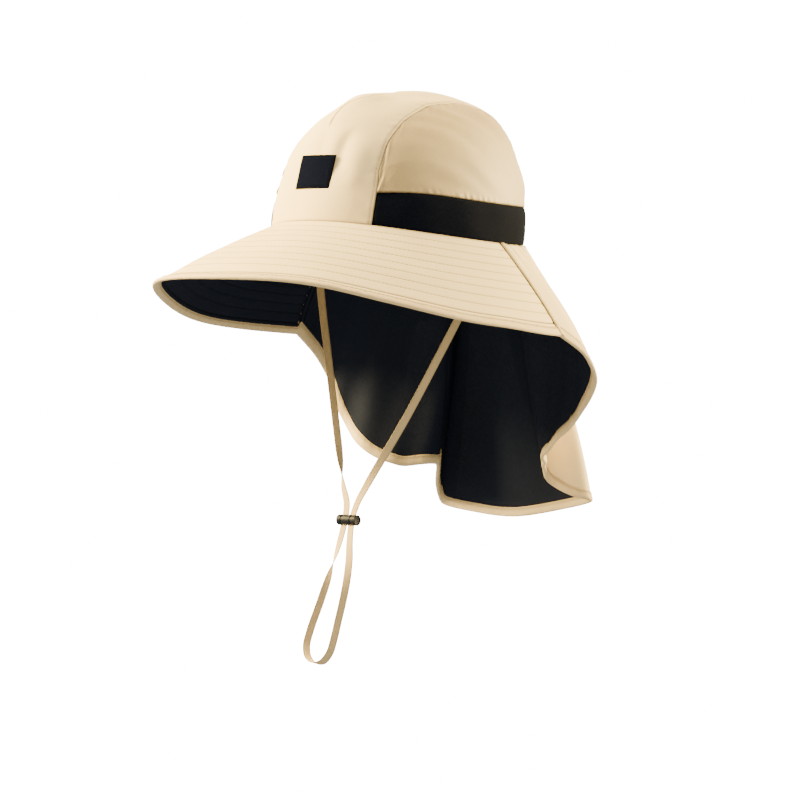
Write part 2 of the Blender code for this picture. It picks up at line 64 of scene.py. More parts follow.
PATCH_WIDTH = 0.0307
PATCH_HEIGHT = 0.0243
PATCH_LIFT = 0.0499
PATCH_SIDE = 0.0038
BRIM_TAPE_WIDTH = 0.0066
BRIM_SPREAD = 0.1062
BRIM_DROP = 0.0666
BRIM_DROOP = 0.15
SEAM_ANGLE = 104.3
FLAP_WIDTH = 0.1560
FLAP_REACH = 0.1400
FLAP_DROP = 0.2088
HEM_ROLL = 0.026
CORD_THICKNESS = 0.0011
LOCK_LENGTH = 0.0177
LOCK_DIAMETER = 0.0078
LOCK_PLACE = (0.0004, -0.0554, -0.2020)
LOCK_LEAN = 17.1             # degrees that the lock leans with the cord
LOCK_GROOVE = 0.5            # place of each groove, as a share of half the lock's length
LOCK_RIB = 0.0004            # depth of the grooves
STRAND_SPACING = 0.0066

# Two widths that the photo shows a little larger than the source has them
FLAP_TAPE_WIDTH = 0.0076
CORD_WIDTH = 0.0058

# Real cloth, thinner than the source's walls
CLOTH = 0.0007
NYLON = 0.0005
PATCH_CLOTH = 0.0010
TAPE = 0.0006
GAP = 0.0002                 # between layers
SEAM_GAP = 0.00005           # between the brim's ends and the flap's

LEAN_TABLE = [
    # height, lean
    (0.00, 0.00),
    (0.15, 0.12),
    (0.35, 0.37),
    (0.58, 0.57),
    (0.78, 0.91),
    (0.87, 1.00),
    (0.93, 0.85),
    (1.00, 0.22),
]

SIDE_SEAM_TABLE = [
    # angle, height
    (37.1, 0.40),
    (41.3, 0.585),
    (45.8, 0.695),
    (53.4, 0.793),
    (69.0, 0.883),
    (90.5, 0.917),
    (113.5, 0.929),
    (128.2, 0.903),
    (136.5, 0.847),
    (140.7, 0.745),
    (142.0, 0.58),
]

BRIM_TABLE = [
    # angle, heading, reach, fall
    (0.0, 0.0, 1.000, 0.617),
    (20.0, 21.2, 0.921, 0.638),
    (40.0, 42.3, 0.740, 0.794),
    (60.0, 62.4, 0.618, 0.926),
    (82.0, 77.4, 0.521, 0.967),
    (104.3, 94.5, 0.445, 0.997),
]

FLAP_TABLE = [
    # angle, edge_side, edge_back, edge_down, belly_side, belly_back, belly_down
    (110.6, 1.715, 0.406, 0.409, 1.445, 0.361, 0.198),
    (116.2, 1.682, 0.496, 0.496, 1.480, 0.475, 0.256),
    (122.3, 1.519, 0.491, 0.619, 1.470, 0.600, 0.330),
    (130.5, 1.212, 0.457, 0.726, 1.310, 0.715, 0.365),
    (142.0, 0.859, 0.550, 0.801, 0.900, 0.800, 0.407),
    (154.0, 0.673, 0.743, 0.820, 0.450, 0.750, 0.407),
    (161.0, 0.710, 0.820, 0.874, 0.490, 0.795, 0.435),
    (165.5, 0.865, 0.890, 0.917, 0.660, 0.905, 0.457),
    (169.0, 0.966, 0.946, 0.934, 0.715, 0.975, 0.467),
    (172.0, 0.940, 0.995, 0.945, 0.640, 1.005, 0.473),
    (175.5, 0.650, 1.022, 0.969, 0.380, 1.000, 0.485),
    (180.0, 0.000, 1.000, 1.000, 0.000, 0.960, 0.500),
]

# The chin cord's route from the wearer's left to the wearer's right, through the lock and the loop.
CORD_ROUTE = [
    (0.0822, 0.0062, 0.0040),
    (0.0815, 0.0055, -0.0030),
    (0.0791, 0.0027, -0.0160),
    (0.0742, -0.0028, -0.0347),
    (0.0654, -0.0107, -0.0582),
    (0.0551, -0.0189, -0.0836),
    (0.0325, -0.0345, -0.1346),
    (0.0216, -0.0414, -0.1563),
    (0.0113, -0.0477, -0.1769),
    (0.0053, -0.0521, -0.1912),
    (0.0038, -0.0552, -0.2015),
    (0.0041, -0.0567, -0.2063),
    (0.0061, -0.0604, -0.2180),
    (0.0090, -0.0642, -0.2301),
    (0.0108, -0.0689, -0.2451),
    (0.0110, -0.0746, -0.2632),
    (0.0105, -0.0777, -0.2733),
    (0.0100, -0.0818, -0.2864),
    (0.0085, -0.0849, -0.2964),
    (0.0034, -0.0869, -0.3029),
    (-0.0043, -0.0871, -0.3041),
    (-0.0115, -0.0859, -0.3004),
    (-0.0154, -0.0834, -0.2927),
    (-0.0149, -0.0802, -0.2824),
    (-0.0111, -0.0742, -0.2630),
    (-0.0070, -0.0671, -0.2400),
    (-0.0038, -0.0601, -0.2175),
    (-0.0030, -0.0567, -0.2065),
    (-0.0030, -0.0552, -0.2016),
    (-0.0042, -0.0520, -0.1914),
    (-0.0117, -0.0476, -0.1773),
    (-0.0213, -0.0408, -0.1552),
    (-0.0325, -0.0329, -0.1295),
    (-0.0558, -0.0169, -0.0751),
    (-0.0671, -0.0091, -0.0485),
    (-0.0747, -0.0033, -0.0273),
    (-0.0790, 0.0020, -0.0140),
    (-0.0815, 0.0055, -0.0030),
    (-0.0822, 0.0062, 0.0040),
]
CORD_STATIONS = 420
CORD_FACING = (0.60, 0.75, -0.28)   # the way that the cord's width lies between the ears and the lock

# The front dart runs up the middle of the crown, a little to one side or the other.
DART_TABLE = [
    # height, side
    (0.0716, 0.0051),
    (0.0787, 0.0033),
    (0.0850, 0.0002),
    (0.0930, -0.0017),
    (0.0982, -0.0025),
    (0.1028, -0.0005),
    (0.1050, 0.0025),
    (0.1074, 0.0060),
    (0.1097, 0.0082),
]

# Small ways in which the hem in the photo leaves the tables: metres to the camera's right and up. Angles
# over 180 are the wearer's right side.
HEM_SHIFTS = [
    # angle, right, up
    (104.3, 0.0000, 0.0000),
    (122.3, 0.0000, 0.0000),
    (130.5, 0.0030, 0.0049),
    (142.0, 0.0078, 0.0060),
    (154.0, 0.0030, -0.0005),
    (161.0, 0.0000, -0.0010),
    (169.0, 0.0000, 0.0000),
    (180.0, 0.0000, 0.0000),
    (184.5, 0.0000, -0.0033),
    (188.0, 0.0000, -0.0031),
    (191.0, 0.0004, 0.0020),
    (194.5, 0.0000, 0.0020),
    (199.0, -0.0030, 0.0030),
    (206.0, 0.0016, 0.0030),
    (218.0, 0.0000, 0.0000),
    (255.7, 0.0000, 0.0000),
]

# Camera and floor
VIEW_ANGLE = 41.0            # degrees that the camera stands round from the front
VIEW_DISTANCE = 2.5
VIEW_HEIGHT = -0.0450
AIM_SIDE = 0.00155
AIM_HEIGHT = -0.1157
LENS = 152.0
FLOOR_HEIGHT = -0.345

# Light: strengths of the glowing floor, of the backdrop as the camera sees it and of the room
TABLE_GLOW = 17.0
BACKDROP = 18.0
ROOM_LIGHT = 1.0
ROOM_COLOUR = "#FFFBF2"
LAMP_COLOUR = "#FFE3A0"

# Sewing
BRIM_ROWS = 8                # rows of stitches round the brim, besides the one by the tape
BRIM_ROW_STEP = 0.1          # their spacing, as a share of the way from the crown to the edge
EDGE_ROW = 0.0092            # from the free edge to the row beside the tape
TOPSTITCH = 0.0022           # from the crown's seams to the row beside them
PATCH_STITCH = 0.0013        # from the patch's edge to the row round it
WELT_ROW = 0.0010            # from each side of the flap's welt to the row beside it
STITCH_PITCH = 0.0033        # from one stitch to the next
STITCH_LENGTH = 0.0024
STITCH_WIDTH = 0.00042
GROOVE_DEPTH = 0.00015       # how deep a row of stitches draws the brim's cloth in
EDGE_DEPTH = 0.00040         # and the same for the row beside the tape and for the seams
GROOVE_WIDTH = 0.0009
WELT_WIDTH = 0.0048          # the raised edge of the flap beside its seam with the brim
WELT_HEIGHT = 0.0011
FOOT_SHADE = 0.0012          # how far the shade of the crown's foot reaches

SEAM_LEAN = 6.0              # degrees that the seam between brim and flap starts further forward
SOFT_FOLD = 0.0011           # height of the softest folds in the flap
SHOULDER_DIP = 0.0028        # how far the crown lies in on the far side of the dart

# Points where a grid of the skirt is closer, at both of its ends
END_SHARE = 0.02
END_STATIONS = 24

# Small uneven waves that no pattern repeats, in metres
RIPPLES = {
    # where: height, size, seed
    "brim": (0.0005, 0.050, 3),
    "centre panel": (0.0009, 0.055, 5),
    "flap by the crown's foot": (0.00035, 0.012, 11),
    "tape by its stitches": (0.00016, 0.0085, 17),
    "topstitched seam": (0.00028, 0.0075, 23),
    "side panel folds": (0.0013, 0.048, 31),
    "side panel creases": (0.00022, 0.015, 41),
    "side panel lower seam": (0.00022, 0.0056, 51),
    "side panel arched seam": (0.00035, 0.008, 61),
    "band": (0.0005, 0.030, 71),
}


def curve(rows, column, keys):
    """A smooth curve through one column of a table whose first column is the key."""
    table = np.array(rows)
    key, value = table[:, 0], table[:, column]
    runs = np.diff(key)
    rises = np.diff(value) / runs
    inner = (rises[:-1] * runs[1:] + rises[1:] * runs[:-1]) / (runs[:-1] + runs[1:])
    slopes = np.concatenate((rises[:1], inner, rises[-1:]))
    place = np.clip(np.searchsorted(key, keys) - 1, 0, len(runs) - 1)
    run = runs[place]
    share = (keys - key[place]) / run
    square, cube = share ** 2, share ** 3
    return ((2 * cube - 3 * square + 1) * value[place]
            + (cube - 2 * square + share) * run * slopes[place]
            + (3 * square - 2 * cube) * value[place + 1]
            + (cube - square) * run * slopes[place + 1])


def travelled(points):
    """Distance along each row of points, starting at nothing."""
    steps = np.linalg.norm(np.diff(points, axis=-2), axis=-1)
    start = np.zeros(steps.shape[:-1] + (1,))
    return np.concatenate((start, np.cumsum(steps, axis=-1)), axis=-1)


def travelled_round(points):
    """Distance along each column of a grid of points, a row for each column."""
    return travelled(points.transpose(1, 0, 2))


def from_ends(runs):
    """Distance to the nearer end of each line of a grid."""
    return np.minimum(runs, runs[:, -1:] - runs)


def around_at(points, column):
    """Distance along one column of a grid, for the points of every column."""
    return np.repeat(travelled(points[:, column])[:, None], points.shape[1], axis=1)


def ease(low, high, value):
    """0 below low, 1 above high and a smooth step between."""
    share = np.clip((value - low) / (high - low), 0.0, 1.0)
    return share * share * (3 - 2 * share)


def ridge(distance, width):
    """1 on a line, falling to 0 at about twice the width on either side."""
    return np.exp(-(distance / width) ** 2)


def ripple(where, across, along, side=0):
    """Height of gentle waves of about one size, the same each time for one seed."""
    height, size, seed = RIPPLES[where]
    draw = np.random.default_rng(seed + side)
    total = np.zeros(np.broadcast(across, along).shape)
    waves = 9
    for _ in range(waves):
        turn = draw.uniform(0, math.pi)
        pitch = size * draw.uniform(0.7, 1.6)
        total += np.sin((across * math.cos(turn) + along * math.sin(turn)) * 2 * math.pi / pitch
                        + draw.uniform(0, 2 * math.pi))
    return height * (total / math.sqrt(waves))


def grid_normals(points):
    """Outward normals of a grid whose rows go round the hat and whose columns go down it."""
    normal = np.cross(np.gradient(points, axis=1), np.gradient(points, axis=0))
    return normal / np.linalg.norm(normal, axis=-1, keepdims=True)


def read_grid(grid, rows, columns):
    """Values of a grid between its points, at fractional rows and columns."""
    rows = np.clip(rows, 0, grid.shape[0] - 1.001)
    columns = np.clip(columns, 0, grid.shape[1] - 1.001)
    row, column = rows.astype(int), columns.astype(int)
    down, right = (rows - row)[:, None], (columns - column)[:, None]
    upper = grid[row, column] * (1 - right) + grid[row, column + 1] * right
    lower = grid[row + 1, column] * (1 - right) + grid[row + 1, column + 1] * right
    return upper * (1 - down) + lower * down


def read_lines(face, normals, paths, side=1):
    """Points and normals along paths over a grid, each path given as its rows and its columns."""
    return [(read_grid(face, *path), side * read_grid(normals, *path)) for path in paths]


def places_beside_ends(runs, distance):
    """Where each line of a grid reaches one distance from its first point, and from its last."""
    index = np.arange(runs.shape[1])
    from_first = [np.interp(distance, run, index) for run in runs]
    from_last = [np.interp(distance, (run[-1] - run)[::-1], index[::-1]) for run in runs]
    return np.array(from_first), np.array(from_last)


# The crown's shape

def foot_height(turn):
    """Height of the crown's foot at an angle in radians."""
    return FOOT_TILT * np.cos(turn) + FOOT_ARCH * np.cos(turn) ** 2


def section(up, power):
    """The crown's half width as a share of its foot's, at a share of its height."""
    return np.clip(1 - up ** power, 0, 1) ** (1 / power)


def ray(angle, up):
    """The direction to the crown at an angle and a share of the crown's height."""
    radius = section(up, 2)
    turn = np.radians(angle)
    return np.stack((HEAD_WIDTH / 2 * radius * np.sin(turn),
                     -HEAD_LENGTH / 2 * radius * np.cos(turn),
                     CROWN_HEIGHT * up + 0 * turn), axis=-1)


def dome(rays):
    """The points of the crown's outer face for directions from the origin."""
    unit = rays / np.array((HEAD_WIDTH / 2, HEAD_LENGTH / 2, CROWN_HEIGHT))
    unit = unit / np.linalg.norm(unit, axis=-1, keepdims=True)
    up = unit[..., 2]
    turn = np.arctan2(unit[..., 0], -unit[..., 1])
    across = HEAD_WIDTH / 2 * section(up, SIDE_POWER) * np.sin(turn)
    along = HEAD_LENGTH / 2 * section(up, LENGTH_POWER) * np.cos(turn)
    lean = DOME_LEAN * curve(LEAN_TABLE, 1, up)
    return np.stack((across, lean - along, CROWN_HEIGHT * up + foot_height(turn) * (1 - up)), axis=-1)


def band_share(angle):
    """The black band's upper edge as a share of the crown's height over the foot."""
    away = np.minimum(angle, 360 - angle) - FRONT_SEAM
    height = BAND_FRONT + (BAND_BACK - BAND_FRONT) * np.sin(math.pi / 2 * np.clip(away / FRONT_SEAM, 0, 1))
    return height / (CROWN_HEIGHT - foot_height(np.radians(angle)))


def front_seam(up):
    """The front seam's angle at a share of the crown's height, from the foot to the arched seam."""
    angle, height = SIDE_SEAM_TABLE[0]
    return FRONT_SEAM + (angle - FRONT_SEAM) * up / height


def arch_rays(side, count):
    """Rays along the arched seam between the centre panel and a side panel, evenly spaced."""
    keyed = [(place, *row) for place, row in enumerate(SIDE_SEAM_TABLE)]
    places = np.linspace(0, len(keyed) - 1, 400)
    run = travelled(dome(ray(curve(keyed, 1, places), curve(keyed, 2, places))))
    places = np.interp(np.linspace(0, run[-1], count), run, places)
    return ray(side * curve(keyed, 1, places), curve(keyed, 2, places))


# The brim's and the flap's shape

def foot_points(angles):
    """The crown's foot at angles in degrees."""
    turn = np.radians(angles)
    return np.stack((HEAD_WIDTH / 2 * np.sin(turn), -HEAD_LENGTH / 2 * np.cos(turn), foot_height(turn)),
                    axis=-1)


def brim_ribs(angles):
    """Top, belly and edge points of the lines straight down the brim."""
    heading = np.radians(curve(BRIM_TABLE, 1, np.abs(angles))) * np.where(angles < 0, -1, 1)
    out = np.stack((np.sin(heading), -np.cos(heading), 0 * heading), axis=-1)
    up = np.array((0.0, 0.0, 1.0))
    top = foot_points(angles)
    table = [(-row[0], *row[1:]) for row in reversed(BRIM_TABLE[1:])] + BRIM_TABLE
    reach = BRIM_SPREAD * curve(table, 2, angles)[:, None]
    fall = BRIM_DROP * curve(table, 3, angles)[:, None]
    belly = top + out * reach / 2 - up * fall * (1 - BRIM_DROOP) / 2
    return top, belly, top + out * reach - up * fall


def flap_rows():
    """The flap's table in metres, with the brim's last rib as its first row."""
    top, belly, edge = brim_ribs(np.array((SEAM_ANGLE,)))
    rows = [(SEAM_ANGLE, *edge[0], *belly[0])]
    half = FLAP_WIDTH / 2
    scales = (half, FLAP_REACH, -FLAP_DROP, half, FLAP_REACH, -FLAP_DROP)
    rows += [(row[0], *[value * scale for value, scale in zip(row[1:], scales)]) for row in FLAP_TABLE]
    inner = rows[-2]
    rows.append((360 - inner[0], -inner[1], inner[2], inner[3], -inner[4], inner[5], inner[6]))
    return rows


FLAP_ROWS = flap_rows()


def skirt_ribs(angles):
    """Top, belly and edge points of the lines down the brim and flap, as one ring."""
    angles = np.where(angles > 180, angles - 360, angles)
    away = np.abs(angles)
    top, belly, edge = brim_ribs(np.clip(angles, -SEAM_ANGLE, SEAM_ANGLE))
    flap_top = foot_points(angles)
    keys = np.clip(away, SEAM_ANGLE, 180)
    values = np.stack([curve(FLAP_ROWS, column, keys) for column in range(1, 7)], axis=-1)
    side = np.where(angles > 0, 1.0, -1.0)
    flap_edge, flap_belly = values[:, :3], values[:, 3:]
    flap_edge[:, 0] *= side
    flap_belly[:, 0] *= side
    seam_share = (180 - keys) / (180 - SEAM_ANGLE)
    flap_edge[:, 2] += HEM_ROLL * (1 - seam_share ** 4) * flap_edge[:, 0]
    turned = np.where(angles > 0, keys, 360 - keys)
    right = curve(HEM_SHIFTS, 1, turned)
    view = math.radians(VIEW_ANGLE)
    flap_edge += np.stack((math.cos(view) * right, math.sin(view) * right, curve(HEM_SHIFTS, 2, turned)),
                          axis=-1)
    brim = (away <= SEAM_ANGLE)[:, None]
    return (np.where(brim, top, flap_top), np.where(brim, belly, flap_belly),
            np.where(brim, edge, flap_edge))


def stations(first, last, count):
    """Angles round the skirt, spaced evenly along its edge, belly and top together, closer at the ends."""
    angles = np.linspace(first, last, 2000)
    run = sum(travelled(line) for line in skirt_ribs(angles))
    end = np.linspace(0.0, END_SHARE, END_STATIONS + 1)[:-1]
    middle = np.linspace(END_SHARE, 1 - END_SHARE, count - 2 * END_STATIONS)
    places = np.concatenate((end, middle, 1 - end[::-1]))
    return np.interp(places * run[-1], run, angles)


def leaned(angles, shares):
    """Angles at places down the ribs: near the seam they start further forward at the crown."""
    turn = np.where(np.abs(angles) <= SEAM_ANGLE, angles / SEAM_ANGLE, (180 - angles) / (180 - SEAM_ANGLE))
    return angles[:, None] - SEAM_LEAN * (1 - shares) * turn[:, None] ** 5


def rib_lengths(angles):
    """Lengths of ribs, measured square to the free edge."""
    shares = np.tile(np.linspace(0, 1, 21), (len(angles), 1))
    points = flat_skirt(angles, shares)
    turn_step = 0.6
    edge_run = skirt_ribs(angles + turn_step)[2] - skirt_ribs(angles - turn_step)[2]
    edge_run /= np.linalg.norm(edge_run, axis=-1, keepdims=True)
    down = points[:, -1] - points[:, -2]
    down /= np.linalg.norm(down, axis=-1, keepdims=True)
    return travelled(points)[:, -1] * np.linalg.norm(np.cross(down, edge_run), axis=-1)


def flat_skirt(angles, shares):
    """The skirt's middle surface before its small folds, a row for each angle."""
    ribs = skirt_ribs(leaned(angles, shares).reshape(-1))
    top, belly, edge = (part.reshape(*shares.shape, 3) for part in ribs)
    share = shares[..., None]
    return top * (1 - share) ** 2 + belly * 2 * share * (1 - share) + edge * share ** 2


def soft_folds(angles, shares):
    """Height of the small soft folds over the middle surface."""
    angle = leaned(angles, shares)
    angle = np.where(angle > 180, angle - 360, angle)
    flap = ease(SEAM_ANGLE + 2, SEAM_ANGLE + 14, np.abs(angle))
    waves = (np.sin(np.radians(angle) * 21 + 1.2 + 2.2 * shares)
             + 0.6 * np.sin(np.radians(angle) * 37 + 4.0 - 3.1 * shares))
    brim = ripple("brim", angle * 0.0016, shares * 0.1) * shares
    return SOFT_FOLD * flap * waves * shares ** 0.7 + brim * (1 - flap)


def skirt(angles, shares):
    """Points and outward normals of the middle surface with its soft folds."""
    points = flat_skirt(angles, shares)
    points = points + grid_normals(points) * soft_folds(angles, shares)[..., None]
    return points, grid_normals(points)


# Making meshes

def start_piece(name):
    """Names the object that an operator has just added."""
    piece = bpy.context.object
    piece.name = name
    piece.data.name = name
    return piece


def finish_modifier(piece, kind, **settings):
    """Adds one modifier to a piece, sets it and applies it."""
    bpy.context.view_layer.objects.active = piece
    modifier = piece.modifiers.new(kind.title(), kind)
    for name, value in settings.items():
        setattr(modifier, name, value)
    bpy.ops.object.modifier_apply(modifier=modifier.name)


def add_object(name, data):
    """Puts a new object that shows this data in the scene."""
    made = bpy.data.objects.new(name, data)
    bpy.context.scene.collection.objects.link(made)
    return made


def select_only(piece):
    """Makes one object the only selected and the active one."""
    bpy.ops.object.select_all(action="DESELECT")
    piece.select_set(True)
    bpy.context.view_layer.objects.active = piece


def lay_maps(mesh, around, down, seam_and_shade):
    """Lays a mesh's UV map in metres and its marks of seams and painted shade, from values for each vertex.
    """
    vertex = np.empty(len(mesh.loops), dtype=int)
    mesh.loops.foreach_get("vertex_index", vertex)
    places = np.stack((around.reshape(-1), down.reshape(-1)), axis=-1)[vertex]
    layer = mesh.uv_layers.active or mesh.uv_layers.new(name="UVMap")
    layer.data.foreach_set("uv", places.reshape(-1))
    mark = mesh.attributes.new("seam_and_shade", "FLOAT", "POINT")
    mark.data.foreach_set("value", seam_and_shade.reshape(-1))


def make_cloth(name, material, face, around, down, seam_and_shade, thickness=CLOTH):
    """A cloth layer: a grid laid on its outer face, with its thickness added inwards.

    Around and down are distances in metres for the weave, and the last grid says how much each point is
    darkened: dark seam lines, and painted shade in grooves, creases and at the crown's foot.
    """
    rows, columns = face.shape[:2]
    bpy.ops.object.select_all(action="DESELECT")
    bpy.ops.mesh.primitive_grid_add(x_subdivisions=columns - 1, y_subdivisions=rows - 1, size=1)
    piece = start_piece(name)
    mesh = piece.data
    mesh.vertices.foreach_set("co", face.reshape(-1))
    lay_maps(mesh, around, down, seam_and_shade)
    mesh.update()
    finish_modifier(piece, "SOLIDIFY", thickness=thickness, offset=-1.0)
    bpy.ops.object.shade_smooth()
    mesh.materials.append(material)
    return piece


def make_swept(name, material, sections, around, across, seam_and_shade):
    """A closed bar through a row of closed sections with the same number of points."""
    count, places = sections.shape[:2]
    faces = []
    for first in range(count - 1):
        for place in range(places):
            following = (place + 1) % places
            faces.append((first * places + place, first * places + following,
                          (first + 1) * places + following, (first + 1) * places + place))
    faces.append(tuple(reversed(range(places))))
    faces.append(tuple(range((count - 1) * places, count * places)))
    mesh = bpy.data.meshes.new(name)
    mesh.from_pydata(sections.reshape(-1, 3).tolist(), [], faces)
    mesh.update()
    lay_maps(mesh, around, across, seam_and_shade)
    mesh.materials.append(material)
    piece = add_object(name, mesh)
    select_only(piece)
    bpy.ops.object.shade_smooth_by_angle(angle=math.radians(50))
    bpy.ops.object.mode_set(mode="EDIT")
    bpy.ops.mesh.select_all(action="SELECT")
    bpy.ops.mesh.normals_make_consistent(inside=False)
    bpy.ops.object.mode_set(mode="OBJECT")
    return piece


def along_line(spots, run, values):
    """Values of a line's points, three for each, at distances along it."""
    return np.stack([np.interp(spots, run, values[:, axis]) for axis in range(3)], axis=-1)


def make_stitches(name, material, rows, pitch=STITCH_PITCH, length=STITCH_LENGTH, width=STITCH_WIDTH):
    """Rows of stitches, each stitch a thin lens of thread that dips into the cloth at both ends.

    Each row is a line of points on the cloth and the normals there.
    """
    rings = ((-0.30, 0.75), (0.30, 0.75))
    sides = 5
    shape, faces = [(-0.5, 0.0, -0.3)], []
    for along, size in rings:
        for side in range(sides):
            turn = 2 * math.pi * side / sides
            shape.append((along, size * 0.5 * math.cos(turn), 0.25 + size * 0.5 * math.sin(turn)))
    shape.append((0.5, 0.0, -0.3))
    last = len(shape) - 1
    for side in range(sides):
        here, there = 1 + side, 1 + (side + 1) % sides
        faces += [(0, there, here), (here, there, there + sides, here + sides),
                  (here + sides, there + sides, last)]
    shape = np.array(shape) * (length, width, width)
    vertices, polygons = [], []
    for points, normals in rows:
        run = travelled(points)
        count = max(int(run[-1] / pitch), 1)
        spots = (np.arange(count) + 0.5) * run[-1] / count
        place, normal = along_line(spots, run, points), along_line(spots, run, normals)
        ahead = along_line(spots + pitch / 2, run, points) - along_line(spots - pitch / 2, run, points)
        ahead /= np.linalg.norm(ahead, axis=-1, keepdims=True)
        normal -= ahead * (normal * ahead).sum(-1, keepdims=True)
        normal /= np.linalg.norm(normal, axis=-1, keepdims=True)
        side = np.cross(normal, ahead)
        made = (place[:, None] + ahead[:, None] * shape[None, :, :1]
                + side[:, None] * shape[None, :, 1:2] + normal[:, None] * shape[None, :, 2:])
        first = len(vertices) * len(shape)
        for index in range(count):
            base = first + index * len(shape)
            polygons += [tuple(corner + base for corner in face) for face in faces]
        vertices += list(made)
    mesh = bpy.data.meshes.new(name)
    mesh.from_pydata(np.concatenate(vertices).tolist(), [], polygons)
    mesh.update()
    mesh.shade_smooth()
    mesh.materials.append(material)
    return add_object(name, mesh)


# Materials

def linear(hex_colour):
    """An sRGB hex colour as linear red, green, blue and alpha."""
    values = [int(hex_colour[place:place + 2], 16) / 255 for place in (1, 3, 5)]
    return [value / 12.92 if value <= 0.04045 else ((value + 0.055) / 1.055) ** 2.4
            for value in values] + [1.0]


def add_node(tree, kind, settings=None, links=None):
    """Adds a node, sets its properties and input values and links its inputs."""
    node = tree.nodes.new(kind)
    for name, value in (settings or {}).items():
        if isinstance(name, int) or name in node.inputs:
            node.inputs[name].default_value = value
        else:
            setattr(node, name, value)
    for name, source in (links or {}).items():
        tree.links.new(source, node.inputs[name])
    return node


def new_material(name, **constants):
    """A material with one surface shader, whose constant values sit on its own sockets."""
    material = bpy.data.materials.new(name)
    material.use_nodes = True
    tree = material.node_tree
    shader = tree.nodes["Principled BSDF"]
    for socket, value in constants.items():
        shader.inputs[socket.replace("_", " ")].default_value = value
    return material, tree, shader


def woven_cloth(name, colour, shade, seam_and_shade_colour, thread, depth, mottle=0.5, twill=True, crease=0.0,
                **constants):
    """Cloth: a weave from its UV map in metres, soft changes of colour, and darker seam lines and painted
    shade.
    """
    material, tree, shader = new_material(name, **constants)
    uv = add_node(tree, "ShaderNodeUVMap")
    split = add_node(tree, "ShaderNodeSeparateXYZ", links={0: uv.outputs["UV"]})
    turns = 2 * math.pi / thread
    if twill:
        first = add_node(tree, "ShaderNodeMath", {"operation": "ADD"},
                         {0: split.outputs["X"], 1: split.outputs["Y"]}).outputs[0]
        second = add_node(tree, "ShaderNodeMath", {"operation": "SUBTRACT"},
                          {0: split.outputs["X"], 1: split.outputs["Y"]}).outputs[0]
    else:
        first, second = split.outputs["X"], split.outputs["Y"]
    waves = []
    for source in (first, second):
        scaled = add_node(tree, "ShaderNodeMath", {"operation": "MULTIPLY", 1: turns}, {0: source})
        waves.append(add_node(tree, "ShaderNodeMath", {"operation": "SINE"}, {0: scaled.outputs[0]}))
    weave = add_node(tree, "ShaderNodeMath", {"operation": "MULTIPLY"},
                     {0: waves[0].outputs[0], 1: waves[1].outputs[0]})
    place = add_node(tree, "ShaderNodeTexCoord")
    grain = add_node(tree, "ShaderNodeTexNoise", {"Scale": 900.0, "Detail": 2.0},
                     {"Vector": place.outputs["Object"]})
    cloudy = add_node(tree, "ShaderNodeTexNoise", {"Scale": 45.0, "Detail": 3.0},
                      {"Vector": place.outputs["Object"]})
    mixed = add_node(tree, "ShaderNodeMath", {"operation": "MULTIPLY_ADD", 1: 0.6},
                     {0: cloudy.outputs["Fac"], 2: grain.outputs["Fac"]})
    spread = add_node(tree, "ShaderNodeMapRange",
                      {"From Min": 0.55, "From Max": 1.05, "To Min": 0.0, "To Max": mottle},
                      {"Value": mixed.outputs[0]})
    base = add_node(tree, "ShaderNodeMix",
                    {"data_type": "RGBA", 6: linear(colour), 7: linear(shade)},
                    {0: spread.outputs["Result"]})
    # Darkening by the seam mark: dark seam lines, and painted shade in grooves, creases and at the crown's
    # foot
    mark = add_node(tree, "ShaderNodeAttribute", {"attribute_name": "seam_and_shade"})
    tint = add_node(tree, "ShaderNodeMix", {"data_type": "RGBA", 7: linear(seam_and_shade_colour)},
                    {0: mark.outputs["Fac"], 6: base.outputs[2]})
    tree.links.new(tint.outputs[2], shader.inputs["Base Color"])
    bump = add_node(tree, "ShaderNodeBump", {"Strength": 0.6, "Distance": depth},
                    {"Height": weave.outputs[0]})
    fine = add_node(tree, "ShaderNodeBump", {"Strength": 0.5, "Distance": depth * 1.2},
                    {"Height": grain.outputs["Fac"], "Normal": bump.outputs["Normal"]})
    last = fine
    if crease:
        folds = add_node(tree, "ShaderNodeTexNoise", {"Scale": 60.0, "Detail": 4.0, "Distortion": 0.6},
                         {"Vector": place.outputs["Object"]})
        last = add_node(tree, "ShaderNodeBump", {"Strength": 0.5, "Distance": crease},
                        {"Height": folds.outputs["Fac"], "Normal": fine.outputs["Normal"]})
    tree.links.new(last.outputs["Normal"], shader.inputs["Normal"])
    return material


def plain_material(name, colour, grain=0.0, grain_size=0.0005, **constants):
    """A one-coloured material with a fine grain in its surface."""
    material, tree, shader = new_material(name, Base_Color=linear(colour), **constants)
    if grain:
        place = add_node(tree, "ShaderNodeTexCoord")
        noise = add_node(tree, "ShaderNodeTexNoise", {"Scale": 1 / grain_size, "Detail": 2.0},
                         {"Vector": place.outputs["Object"]})
        bump = add_node(tree, "ShaderNodeBump", {"Strength": 0.5, "Distance": grain},
                        {"Height": noise.outputs["Fac"]})
        tree.links.new(bump.outputs["Normal"], shader.inputs["Normal"])
    return material


